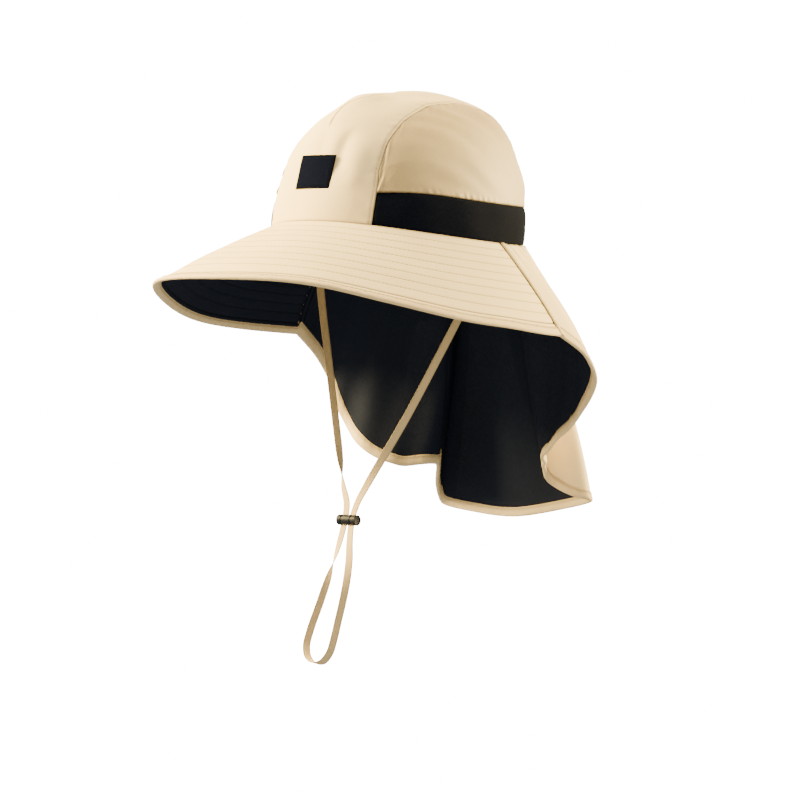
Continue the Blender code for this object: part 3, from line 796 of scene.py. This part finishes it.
def make_materials():
    """Every material of the hat, by its plain name."""
    made = {}
    # Quick-dry twill: matt, even, with a fine diagonal grain and a faint bloom at grazing angles.
    # Its threads are 0.3 mm apart, drawn at 1.1 mm so that the grain shows in the picture.
    made["twill"] = woven_cloth("beige quick-dry twill", "#E4CE9B", "#D8C188", "#2C261C", 0.0011, 0.00006,
                                Roughness=0.9, Specular_IOR_Level=0.12)
    # Thin nylon taffeta: smoother and a little shiny, so that its folds catch the light.
    made["nylon"] = woven_cloth("thin beige nylon taffeta", "#AF9A6C", "#9E895B", "#30291D", 0.0008, 0.00003,
                                twill=False, mottle=0.4, Roughness=0.55, Specular_IOR_Level=0.25)
    # Folded polyester binding tape: ribbed across, a shade yellower than the cloth.
    made["tape"] = woven_cloth("beige polyester binding tape", "#D6BE8C", "#C7AE79", "#4A3F2C", 0.0010,
                               0.00005, Roughness=0.85, Specular_IOR_Level=0.12)
    # Knitted mesh: deep matt black with fine horizontal courses.
    made["mesh"] = woven_cloth("black knitted mesh", "#090C14", "#0D111B", "#040509", 0.0012, 0.00010,
                               twill=False, Roughness=0.95, Specular_IOR_Level=0.02)
    # Brushed lining cloth: matt black with a faint blue cast.
    made["lining"] = woven_cloth("black lining cloth", "#181B24", "#1E222D", "#0C0E13", 0.0009, 0.00004,
                                 Roughness=0.95, Specular_IOR_Level=0.02)
    # Damask-woven patch: tight black threads with a slight satin gloss.
    made["woven"] = woven_cloth("black damask patch", "#090C17", "#0D111F", "#04060B", 0.0007, 0.00006,
                                twill=False, Roughness=0.8, Specular_IOR_Level=0.0)
    # Flat woven cord: a herringbone tape in beige polyester, soft and matt.
    made["cord"] = woven_cloth("beige flat woven cord", "#C9B07F", "#B89E6C", "#5A4C36", 0.0012, 0.00010,
                               Roughness=0.85, Specular_IOR_Level=0.12)
    # Moulded acetal: near-black and nearly matt, with soft highlights.
    made["plastic"] = plain_material("black moulded acetal", "#11141A", grain=0.00003, grain_size=0.0006,
                                     Roughness=0.5, Specular_IOR_Level=0.12)
    # Polyester sewing thread, a shade darker than the cloth: the darker colour is painted shade of the groove
    # that the thread lies in.
    made["thread"] = plain_material("beige polyester thread", "#B89C66", grain=0.00004, grain_size=0.0003,
                                    Roughness=0.7, Specular_IOR_Level=0.2)
    made["dark_thread"] = plain_material("black polyester thread", "#0C0F15", grain=0.00004,
                                         grain_size=0.0003, Roughness=0.8, Specular_IOR_Level=0.05)
    return made


# The pieces

def quilted(distances, depth):
    """Depth of the grooves that rows of stitches draw into cloth, and the painted shade in them as a seam
    mark.
    """
    nearest = np.min(np.abs(distances), axis=0)
    return -depth * ridge(nearest, GROOVE_WIDTH), depth / EDGE_DEPTH * 0.9 * ridge(nearest, 0.0005)


def make_layers(layers, points, normals, around, run, seam_and_shade, paths, materials):
    """The outer cloth and the lining of the brim or the flap, each with its rows of stitches.

    Layers names both cloths, each with its height over the middle surface that the points are on.
    """
    made = []
    kinds = ((1, "twill", "thread"), (-1, "lining", "dark_thread"))
    for (name, height), (side, cloth, thread) in zip(layers, kinds):
        face = points + normals * height[..., None]
        order = slice(None, None, side)
        made.append(make_cloth(name + "_cloth", materials[cloth], face[:, order], around[:, order],
                               run[:, order], seam_and_shade[:, order]))
        made.append(make_stitches(name + "_stitches", materials[thread],
                                  read_lines(face, normals, paths, side)))
    return made


def make_brim_layers(materials):
    """The brim's upper cloth and lining, with their rows of stitches."""
    gap = math.degrees(SEAM_GAP / HEAD_WIDTH)
    angles = stations(-SEAM_ANGLE + gap, SEAM_ANGLE - gap, 300)
    lengths = rib_lengths(angles)
    index = np.arange(len(angles), dtype=float)
    stitched = BRIM_ROW_STEP * (np.arange(BRIM_ROWS) + 1)
    fractions = np.concatenate((np.linspace(0, 1, 101), stitched - 0.005, stitched + 0.005,
                                np.linspace(0.875, 0.935, 13)))
    fractions = np.unique(np.round(fractions, 4))
    cloth_end = 1 - (TAPE + GAP) / lengths
    shares = fractions[None] * cloth_end[:, None]
    points, normals = skirt(angles, shares)
    run = travelled(points)
    around = around_at(points, 60)
    from_seam = from_ends(travelled_round(points)).T

    groove, seam_and_shade = quilted(np.array([(fractions[None] - row) * lengths[:, None] for row in stitched]),
                           GROOVE_DEPTH)
    edge_groove, edge_row_shade = quilted(np.array([lengths[:, None] * (1 - shares) - EDGE_ROW]), EDGE_DEPTH)
    groove = groove + edge_groove - EDGE_DEPTH * ridge(from_seam, GROOVE_WIDTH)
    # The seam mark here is all painted shade: in the stitched grooves, at the crown's foot and along the seam
    # with the flap
    foot = np.maximum(ridge(run, FOOT_SHADE), 1.4 * ridge(from_seam, 0.0007))
    seam_and_shade = np.maximum.reduce((seam_and_shade, edge_row_shade, 0.6 * foot))

    rows = [np.full(len(angles), row) for row in stitched] + [(1 - EDGE_ROW / lengths) / cloth_end]
    paths = [(index, np.interp(row, fractions, np.arange(len(fractions)))) for row in rows]
    height = GAP / 2 + CLOTH + groove
    return make_layers((("brim_top", height), ("brim_lining", -height)), points, normals, around, run, seam_and_shade,
                       paths, materials)


def make_flap_layers(materials):
    """The flap's outer cloth and lining, with the welt along the seam to the brim."""
    gap = math.degrees(SEAM_GAP / HEAD_WIDTH)
    angles = stations(SEAM_ANGLE + gap, 360 - SEAM_ANGLE - gap, 360)
    lengths = rib_lengths(angles)
    fractions = np.linspace(0, 1, 90)
    shares = fractions[None] * (1 - (TAPE + GAP) / lengths)[:, None]
    points, normals = skirt(angles, shares)
    run = travelled(points)
    around = around_at(points, 50)
    across = travelled_round(points)
    from_seam = from_ends(across).T

    welt = WELT_HEIGHT * (1 - ease(WELT_WIDTH - 0.0008, WELT_WIDTH + 0.0002, from_seam))
    groove, seam_and_shade = quilted(np.array((from_seam - WELT_ROW, from_seam - WELT_WIDTH)), EDGE_DEPTH)
    # Painted shade in the stitched grooves beside the welt, at the crown's foot and under the welt's edge
    foot = np.maximum(ridge(run, FOOT_SHADE), 1.2 * ridge(from_seam - WELT_WIDTH, 0.0006))
    seam_and_shade = np.maximum(seam_and_shade, 0.9 * foot)
    pucker = ripple("flap by the crown's foot", around, run * 0.3) * ridge(run, 0.02)

    columns = np.arange(len(fractions), dtype=float)[2:-4]
    paths = [(rows[2:-4], columns) for distance in (WELT_ROW, WELT_WIDTH - WELT_ROW)
             for rows in places_beside_ends(across, distance)]
    height = GAP / 2 + CLOTH + groove
    return make_layers((("flap_outer", height + welt + pucker), ("flap_lining", pucker - height)), points,
                       normals, around, run, seam_and_shade, paths, materials)


def make_binding(name, first, last, count, width, materials):
    """The tape folded round a free edge, with its two rows of stitches."""
    angles = stations(first, last, count)
    lengths = rib_lengths(angles)
    inward = np.array((width, width - 0.0003, width - 0.0014, 0.0040, 0.0028, 0.0018, 0.0011, 0.0006,
                       0.0002, 0.0))
    shares = 1 - inward[None] / lengths[:, None]
    points, normals = skirt(angles, shares)
    edge_run = travelled(points[:, -1])
    inside = CLOTH + GAP
    outside = inside + TAPE
    nose = 0.0018            # from the free edge to where the tape is at its full thickness
    round_off = np.sqrt(np.clip(1 - (1 - np.clip(inward / nose, 0, 1)) ** 2, 0, 1))
    tuck = 1 - 0.30 * ridge(inward - width, 0.0004)
    stitch_at = width - 0.0012
    pull = -0.00022 * ridge(inward - stitch_at, 0.0007)
    pucker = ripple("tape by its stitches", edge_run[:, None], inward[None] * 0.2) * ease(0.0, 0.003, inward)
    height = outside * round_off * tuck + pull + pucker
    upper = points + normals * height[..., None]
    lower = points - normals * (outside * round_off * tuck + pull - pucker)[..., None]
    channel = [points[:, 0] - normals[:, 0] * inside, points[:, 5] - normals[:, 5] * inside,
               points[:, 5] + normals[:, 5] * inside, points[:, 0] + normals[:, 0] * inside]
    sections = np.concatenate((upper, lower[:, -2::-1], np.stack(channel, axis=1)), axis=1)
    across = travelled(sections)
    around = np.tile(edge_run[:, None], sections.shape[1])
    # Painted shade in the stitched groove and along the tape's edge where it meets the cloth
    mark = 0.5 * ridge(inward - stitch_at, 0.0004) + 0.5 * ridge(inward - width, 0.0003)
    seam_and_shade = np.concatenate((mark, mark[-2::-1], np.full(4, 0.5)))
    piece = make_swept(name + "_tape", materials["tape"], sections, around, across,
                       np.tile(seam_and_shade, (len(angles), 1)))
    blend = (inward[1] - stitch_at) / (inward[1] - inward[2])
    lines = [(face[:, 1] * (1 - blend) + face[:, 2] * blend, side * normals[:, 2])
             for face, side in ((upper, 1), (lower, -1))]
    return [piece, make_stitches(name + "_stitches", materials["thread"], lines)]


def make_crown_panel(materials):
    """The centre panel with its front dart and the topstitched seams on both sides."""
    ups = np.linspace(0, SIDE_SEAM_TABLE[0][1], 27)[:-1]
    straight = ray(front_seam(ups), ups)
    arch = arch_rays(1, 120)
    side_line = np.concatenate((straight, arch))
    edge = np.linspace(0, 0.035, 9)[:-1]
    shares = np.concatenate((edge, np.linspace(0.035, 0.965, 103), 1 - edge[::-1]))
    columns = len(shares)
    shares = shares[None, :, None]
    mirror = np.array((-1, 1, 1))
    rows = (side_line * mirror)[:, None] * (1 - shares) + side_line[:, None] * shares
    back = SIDE_SEAM_TABLE[-1][0]
    low_angles = 360 - back + (2 * back - 360) * shares[0, :, 0]
    low = ray(low_angles, band_share(low_angles))
    falls = np.linspace(0, 1, 30)[1:, None, None]
    rows = np.concatenate((rows, rows[-1:] * (1 - falls) + low[None] * falls))
    points = dome(rows)
    normals = grid_normals(points)
    across = travelled(points)
    from_side = from_ends(across)
    along = travelled_round(points).T
    middle = across - across[:, columns // 2][:, None]

    groove = -0.0003 * ridge(from_side - TOPSTITCH, GROOVE_WIDTH)
    roll = -0.0007 * ridge(from_side, 0.0009)
    side_place, height = points[..., 0], points[..., 2]
    front = points[..., 1] < 0

    # The front dart: its dark line, partly the dart's seam and partly painted shade at its step, the lap
    # beside it, the dip on its far side and the soft end below it
    on_dart = ease(0.082, 0.086, height) * ease(0.020, 0.034, -points[..., 1])
    from_dart = side_place - curve(DART_TABLE, 1, np.clip(height, DART_TABLE[0][0], DART_TABLE[-1][0]))
    dart = ridge(from_dart - 0.0014, 0.0011) * on_dart
    lap = 0.0008 * on_dart * ease(0.0, 0.0010, from_dart) * (1 - ease(0.002, 0.018, from_dart))
    shoulder = (SHOULDER_DIP * (1 - ease(-0.0016, 0.0002, from_dart)) * ridge(from_dart, 0.032)
                * ridge(height - 0.1010, 0.0105) * front)
    tail = (ease(0.052, 0.068, height) * (1 - ease(0.076, 0.086, height)) * front
            * ridge(from_dart, 0.0045))
    # A raised crease near the wearer's left front seam, with a hollow beside it
    crease = (0.0013 * ridge(side_place - 0.034, 0.007) * ease(0.034, 0.046, height)
              * (1 - ease(0.060, 0.082, height))
              - 0.0016 * ridge(side_place - 0.0215, 0.0045) * ease(0.045, 0.058, height)
              * (1 - ease(0.070, 0.086, height))) * front
    # Soft unevenness of the whole panel and small puckers beside the topstitching
    foot = ridge(along, FOOT_SHADE)
    soft = ripple("centre panel", middle, along * 0.5) * ease(0.0, 0.02, from_side)
    pucker = ripple("topstitched seam", along, from_side * 0.4) * ridge(from_side - 0.003, 0.004)
    face = points + normals * (groove + roll - 0.0004 * dart + lap - shoulder - 0.0006 * tail + soft
                               + pucker + crease - 0.0004 * foot)[..., None]
    # The seam mark: painted shade in the topstitch grooves and at the crown's foot, and dark lines at the
    # panel's edges and along the dart, partly seam and partly painted shade
    seam_and_shade = np.maximum.reduce((0.3 * ridge(from_side - TOPSTITCH, 0.0005), 0.6 * ridge(from_side, 0.0006),
                              dart, 0.4 * foot))
    piece = make_cloth("crown_panel_cloth", materials["twill"], face, middle, along, seam_and_shade)
    sewn_rows = np.arange(len(face), dtype=float)[1:-2]
    paths = [(sewn_rows, places[1:-2]) for places in places_beside_ends(across, TOPSTITCH)]
    return [piece, make_stitches("crown_panel_stitches", materials["thread"],
                                 read_lines(face, normals, paths))]


def make_side_panel(side, name, materials):
    """A thin nylon side panel, gathered a little along its seams."""
    front, back = front_seam(band_share(FRONT_SEAM)), SIDE_SEAM_TABLE[-1][0]
    arch = arch_rays(side, 190)
    angles = np.linspace(front, back, len(arch))
    low = ray(side * angles, band_share(angles))
    shares = np.linspace(0, 1, 78)[None, :, None]
    points = dome(arch[:, None] * (1 - shares) + low[:, None] * shares)
    if side < 0:
        points = points[::-1]
    normals = grid_normals(points)
    down = travelled(points)
    up = down[:, -1:] - down
    around = around_at(points, 60)
    from_arch = np.minimum(down, from_ends(travelled_round(points)).T)
    inset = np.minimum(from_arch, up)
    # The panel stands out a little, with soft folds on the slant and puckers along both seams
    swell = 0.0010 * ease(0.004, 0.026, inset)
    lean = around - down * 0.75
    folds = ripple("side panel folds", lean, down * 0.15, side) * ease(0.0, 0.016, inset)
    small = ripple("side panel creases", lean, down * 0.25, side) * ease(0.0, 0.006, inset)
    lower = ripple("side panel lower seam", around, up * 0.1, side) * ridge(up - 0.0012, 0.0026)
    upper = (ripple("side panel arched seam", around + down, down * 0.2, side)
             * ridge(from_arch - 0.002, 0.004))
    edge = -0.0005 * ridge(inset, 0.0008)

    face = points + normals * (swell + folds + small + lower + upper + edge)[..., None]
    # A dark line along the panel's edges where it turns in, partly seam and partly painted shade
    seam_and_shade = 0.8 * ridge(inset, 0.0007)
    return [make_cloth(name, materials["nylon"], face, around, down, seam_and_shade, thickness=NYLON)]


def make_crown_band(materials):
    """The black knitted band under the side panels and round the back."""
    top_front = front_seam(band_share(FRONT_SEAM))
    places = np.linspace(-0.999, 0.999, 300)
    top = band_share(180 + places * (180 - top_front))
    columns = 41
    ups = np.linspace(1, 0, columns)[None] * top[:, None]
    points = dome(ray(180 + places[:, None] * (180 - front_seam(ups)), ups))
    normals = grid_normals(points)
    down = travelled(points)
    around = around_at(points, columns // 2)
    from_edge = from_ends(down)
    from_end = from_ends(around.T).T
    # Edges that turn in, a soft swell between them and front ends that tuck under the centre panel
    rim = -0.0006 * ridge(from_edge, 0.0012) - 0.0005 * ridge(from_end, 0.0010)
    soft = ripple("band", around, down * 0.6) * ease(0.0, 0.006, from_edge)
    bulge = 0.0006 * ease(0.0, 0.010, from_edge) - 0.0011 * (1 - ease(0.004, 0.028, from_end))
    face = points + normals * (rim + soft + bulge)[..., None]
    # Darker along the turned-in edges and the front ends, partly seam and partly painted shade
    seam_and_shade = 0.8 * np.maximum(ridge(from_edge, 0.0008), ridge(from_end, 0.0008))
    return [make_cloth("crown_band_mesh", materials["mesh"], face, around, down, seam_and_shade)]


def make_front_patch(materials):
    """The bare woven patch: folded edges, a low border and a row of small stitches round it."""
    rows, columns = 65, 49
    across = np.linspace(-0.5, 0.5, rows)
    up = np.linspace(0.5, -0.5, columns)
    side, height = np.meshgrid(PATCH_SIDE + PATCH_WIDTH * across, up, indexing="ij")
    foot = foot_height(0.0)
    share = (PATCH_LIFT + PATCH_HEIGHT * height - foot) / (CROWN_HEIGHT - foot)
    angle = np.degrees(np.arcsin(side / (HEAD_WIDTH / 2 * section(share, SIDE_POWER))))
    points = dome(ray(angle, share))
    normals = grid_normals(points)
    run_across = side - side[:1]
    run_down = travelled(points)
    inset = np.minimum(from_ends(run_across.T).T, from_ends(run_down))
    lift = (0.0013 - 0.0006 * ridge(inset, 0.0005) - 0.00018 * ridge(inset - PATCH_STITCH, 0.0005)
            + 0.00012 * ridge(inset - 0.0032, 0.0006))
    face = points + normals * lift[..., None]
    # Painted shade in the groove of the stitched row round the patch
    seam_and_shade = 0.6 * ridge(inset - PATCH_STITCH, 0.0004)
    piece = make_cloth("front_patch_woven", materials["woven"], face, run_across, run_down, seam_and_shade,
                       thickness=PATCH_CLOTH)
    low, side_in = PATCH_STITCH / PATCH_HEIGHT, PATCH_STITCH / PATCH_WIDTH
    sewn_columns = np.linspace(low, 1 - low, 30) * (columns - 1)
    sewn_rows = np.linspace(side_in, 1 - side_in, 40) * (rows - 1)
    paths = [(np.full_like(sewn_columns, row), sewn_columns) for row in sewn_rows[[0, -1]]]
    paths += [(sewn_rows, np.full_like(sewn_rows, column)) for column in sewn_columns[[0, -1]]]
    return [piece, make_stitches("front_patch_stitches", materials["dark_thread"],
                                 read_lines(face, normals, paths), pitch=0.0022, length=0.0017,
                                 width=0.0004)]


# The chin cord and its lock

def cord_line():
    """Evenly spaced points and running directions of the cord's middle line."""
    route = np.array(CORD_ROUTE)
    run = travelled(route)
    keyed = np.column_stack((run, route))
    spots = np.linspace(0, run[-1], CORD_STATIONS)
    points = np.stack([curve(keyed, column, spots) for column in (1, 2, 3)], axis=-1)
    ahead = np.gradient(points, axis=0)
    return points, ahead / np.linalg.norm(ahead, axis=-1, keepdims=True)


def make_cord(materials):
    """The flat woven cord, with thicker edges, lying flat across the lock and on the slant elsewhere."""
    points, ahead = cord_line()
    away = np.abs(points[:, 2] - LOCK_PLACE[2])
    share = np.clip((away - LOCK_DIAMETER) / (3 * LOCK_LENGTH), 0, 1)
    quarter = (math.pi / 2 * (0.5 + 0.5 * np.cos(math.pi * share)))[:, None]
    off_slant = np.array(CORD_FACING) / np.linalg.norm(CORD_FACING)
    across_lock = np.where(ahead[:, 2:] < 0, 1.0, -1.0) * np.array((1.0, 0.0, 0.0))
    wide = across_lock * np.sin(quarter) + off_slant * np.cos(quarter)
    wide -= ahead * (wide * ahead).sum(-1, keepdims=True)
    wide /= np.linalg.norm(wide, axis=-1, keepdims=True)
    thin = np.cross(ahead, wide)
    outline = []
    half_width, half_thick = CORD_WIDTH / 2, CORD_THICKNESS / 2
    for turn in np.linspace(0, 2 * math.pi, 25)[:-1]:
        place = math.copysign(abs(math.cos(turn)) ** 0.5, math.cos(turn))
        edge = 0.74 + 0.26 * abs(place) ** 6
        outline.append((half_width * place, half_thick * edge * math.copysign(abs(math.sin(turn)) ** 0.6,
                                                                             math.sin(turn))))
    outline = np.array(outline)
    sections = (points[:, None] + wide[:, None] * outline[None, :, :1] + thin[:, None] * outline[None, :, 1:])
    around = np.tile(travelled(points)[:, None], len(outline))
    across = np.tile(outline[:, 0], (len(points), 1))
    # A darker line just inside each thicker edge
    seam_and_shade = 0.35 * ridge(np.abs(across) - half_width * 0.86, 0.0003)
    return make_swept("chin_cord_tape", materials["cord"], sections, around, across, seam_and_shade), points


def make_lock(materials):
    """The small ribbed barrel across the cord: bevelled rims, two grooves, recessed ends and a slot."""
    bpy.ops.object.select_all(action="DESELECT")
    bpy.ops.mesh.primitive_cylinder_add(vertices=64, radius=LOCK_DIAMETER / 2, depth=LOCK_LENGTH,
                                        rotation=(0.0, math.pi / 2, 0.0))
    lock = start_piece("cord_lock_barrel")
    bpy.ops.object.transform_apply(location=False, rotation=True, scale=False)
    bpy.ops.object.mode_set(mode="EDIT")
    half = LOCK_LENGTH / 2
    groove_at, groove_half = LOCK_GROOVE * half, 0.0007
    for cut in (-groove_at - groove_half, -groove_at + groove_half,
                groove_at - groove_half, groove_at + groove_half):
        bpy.ops.mesh.select_all(action="SELECT")
        bpy.ops.mesh.bisect(plane_co=(cut, 0.0, 0.0), plane_no=(1.0, 0.0, 0.0))
    select_faces(lock, lambda centre: abs(abs(centre.x) - groove_at) < groove_half * 0.9)
    bpy.ops.mesh.extrude_region_shrink_fatten(TRANSFORM_OT_shrink_fatten={"value": -LOCK_RIB})
    select_faces(lock, lambda centre: abs(centre.x) > half - 1e-5)
    bpy.ops.mesh.inset(thickness=0.0009, depth=0.0, use_individual=True)
    bpy.ops.mesh.inset(thickness=0.0002, depth=-0.0004, use_individual=True)
    bpy.ops.mesh.select_all(action="SELECT")
    bpy.ops.mesh.normals_make_consistent(inside=False)
    bpy.ops.object.mode_set(mode="OBJECT")
    finish_modifier(lock, "BEVEL", width=0.00016, segments=3, limit_method="ANGLE",
                    angle_limit=math.radians(35))
    bpy.ops.object.select_all(action="DESELECT")
    bpy.ops.mesh.primitive_cube_add(size=1, scale=(STRAND_SPACING + CORD_WIDTH + 0.0011,
                                                   CORD_THICKNESS + 0.0010, 2 * LOCK_DIAMETER))
    slot = start_piece("lock_slot_shape")
    bpy.ops.object.transform_apply(location=False, rotation=False, scale=True)
    finish_modifier(lock, "BOOLEAN", operation="DIFFERENCE", object=slot, solver="EXACT")
    bpy.data.objects.remove(slot, do_unlink=True)
    select_only(lock)
    lock.location = LOCK_PLACE
    lock.rotation_euler = (math.radians(-LOCK_LEAN), 0.0, 0.0)
    bpy.ops.object.transform_apply(location=True, rotation=True, scale=True)
    bpy.ops.object.shade_smooth_by_angle(angle=math.radians(35))
    lock.data.materials.append(materials["plastic"])
    return lock


def select_faces(piece, wanted):
    """Selects the faces of a piece in edit mode whose centres are wanted."""
    bpy.ops.mesh.select_mode(type="FACE")
    bpy.ops.mesh.select_all(action="DESELECT")
    bpy.ops.object.mode_set(mode="OBJECT")
    for face in piece.data.polygons:
        face.select = wanted(face.center)
    bpy.ops.object.mode_set(mode="EDIT")


# The studio

def make_camera():
    """The camera stands where the photograph was taken from."""
    turn = math.radians(VIEW_ANGLE)
    side = Vector((math.cos(turn), math.sin(turn), 0.0)) * AIM_SIDE
    aim = side + Vector((0.0, 0.0, AIM_HEIGHT))
    rise = VIEW_HEIGHT - AIM_HEIGHT
    level = math.sqrt(VIEW_DISTANCE ** 2 - rise ** 2)
    place = aim + Vector((math.sin(turn) * level, -math.cos(turn) * level, rise))
    data = bpy.data.cameras.new("camera")
    data.lens = LENS
    data.sensor_width = 36.0
    data.clip_end = 100.0
    camera = add_object("camera", data)
    camera.location = place
    camera.rotation_euler = (aim - place).to_track_quat("-Z", "Y").to_euler()
    bpy.context.scene.camera = camera


def make_floor():
    """A plain white floor, lit from below as a light table is, that throws no light on the hat."""
    bpy.ops.object.select_all(action="DESELECT")
    bpy.ops.mesh.primitive_plane_add(size=40.0, location=(0.0, 0.0, FLOOR_HEIGHT))
    floor = start_piece("studio_floor")
    floor.visible_diffuse = False
    floor.visible_glossy = False
    floor.data.materials.append(plain_material("white light-table acrylic", "#F4F4F4", Roughness=0.95,
                                               Specular_IOR_Level=0.1, Emission_Strength=TABLE_GLOW,
                                               Emission_Color=linear("#FFFFFF")))


def make_light(name, around, rise, distance, size, power):
    """One soft square lamp that faces the hat, from an angle round it and degrees above it."""
    turn, lift = math.radians(around), math.radians(rise)
    away = Vector((math.sin(turn) * math.cos(lift), -math.cos(turn) * math.cos(lift), math.sin(lift)))
    data = bpy.data.lights.new(name, "AREA")
    data.energy = power
    data.size = size
    data.color = linear(LAMP_COLOUR)[:3]
    lamp = add_object(name, data)
    lamp.location = away * distance
    lamp.rotation_euler = (-away).to_track_quat("-Z", "Y").to_euler()


def make_studio():
    """A white backdrop, soft light from all round and large lamps at both sides."""
    world = bpy.data.worlds.new("studio")
    world.use_nodes = True
    tree = world.node_tree
    sky = tree.nodes["Background"]
    sky.inputs["Color"].default_value = linear(ROOM_COLOUR)
    sky.inputs["Strength"].default_value = ROOM_LIGHT
    backdrop = add_node(tree, "ShaderNodeBackground", {"Color": linear("#FFFFFF"), "Strength": BACKDROP})
    path = add_node(tree, "ShaderNodeLightPath")
    seen = add_node(tree, "ShaderNodeMixShader", links={0: path.outputs["Is Camera Ray"],
                                                        1: sky.outputs[0], 2: backdrop.outputs[0]})
    tree.links.new(seen.outputs[0], tree.nodes["World Output"].inputs["Surface"])
    bpy.context.scene.world = world
    make_light("key", -52.0, 30.0, 2.2, 1.2, 540.0)
    make_light("rim", 154.0, 14.0, 2.2, 1.2, 370.0)
    make_light("top", 20.0, 75.0, 2.2, 1.4, 25.0)
    make_light("low fill", 30.0, -20.0, 2.4, 1.4, 30.0)


def main():
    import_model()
    make_camera()
    materials = make_materials()

    cord, cord_path = make_cord(materials)
    lock = make_lock(materials)
    crown = make_crown_panel(materials)
    left = make_side_panel(1, "side_panel_left_cloth", materials)
    right = make_side_panel(-1, "side_panel_right_cloth", materials)
    band = make_crown_band(materials)
    patch = make_front_patch(materials)
    brim_top, brim_threads, brim_lining, lining_threads = make_brim_layers(materials)
    brim_binding = make_binding("brim_binding", -SEAM_ANGLE, SEAM_ANGLE, 420, BRIM_TAPE_WIDTH, materials)
    flap_outer, flap_threads, flap_lining, flap_lining_threads = make_flap_layers(materials)
    flap_binding = make_binding("flap_binding", SEAM_ANGLE, 360 - SEAM_ANGLE, 460, FLAP_TAPE_WIDTH,
                                materials)

    pairs = [
        # pieces, node that the first one replaces, material slot
        (crown, "crown_panel", "beige_twill"),
        (left, "side_panel_left", "beige_nylon"),
        (right, "side_panel_right", "beige_nylon"),
        (band, "crown_band", "black_mesh"),
        (patch, "front_patch", "black_woven"),
        ([brim_top, brim_threads], "brim_top", "beige_twill"),
        ([brim_lining, lining_threads], "brim_lining", "black_lining"),
        (brim_binding, "brim_binding", "beige_tape"),
        ([flap_outer, flap_threads], "flap_outer", "beige_twill"),
        ([flap_lining, flap_lining_threads], "flap_lining", "black_lining"),
        (flap_binding, "flap_binding", "beige_tape"),
        ([cord], "chin_cord", "beige_cord"),
        ([lock], "cord_lock", "black_plastic"),
    ]
    for pieces, node, slot in pairs:
        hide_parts(node)
        for piece in pieces:
            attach(piece, "root")

    make_floor()
    make_studio()


main()
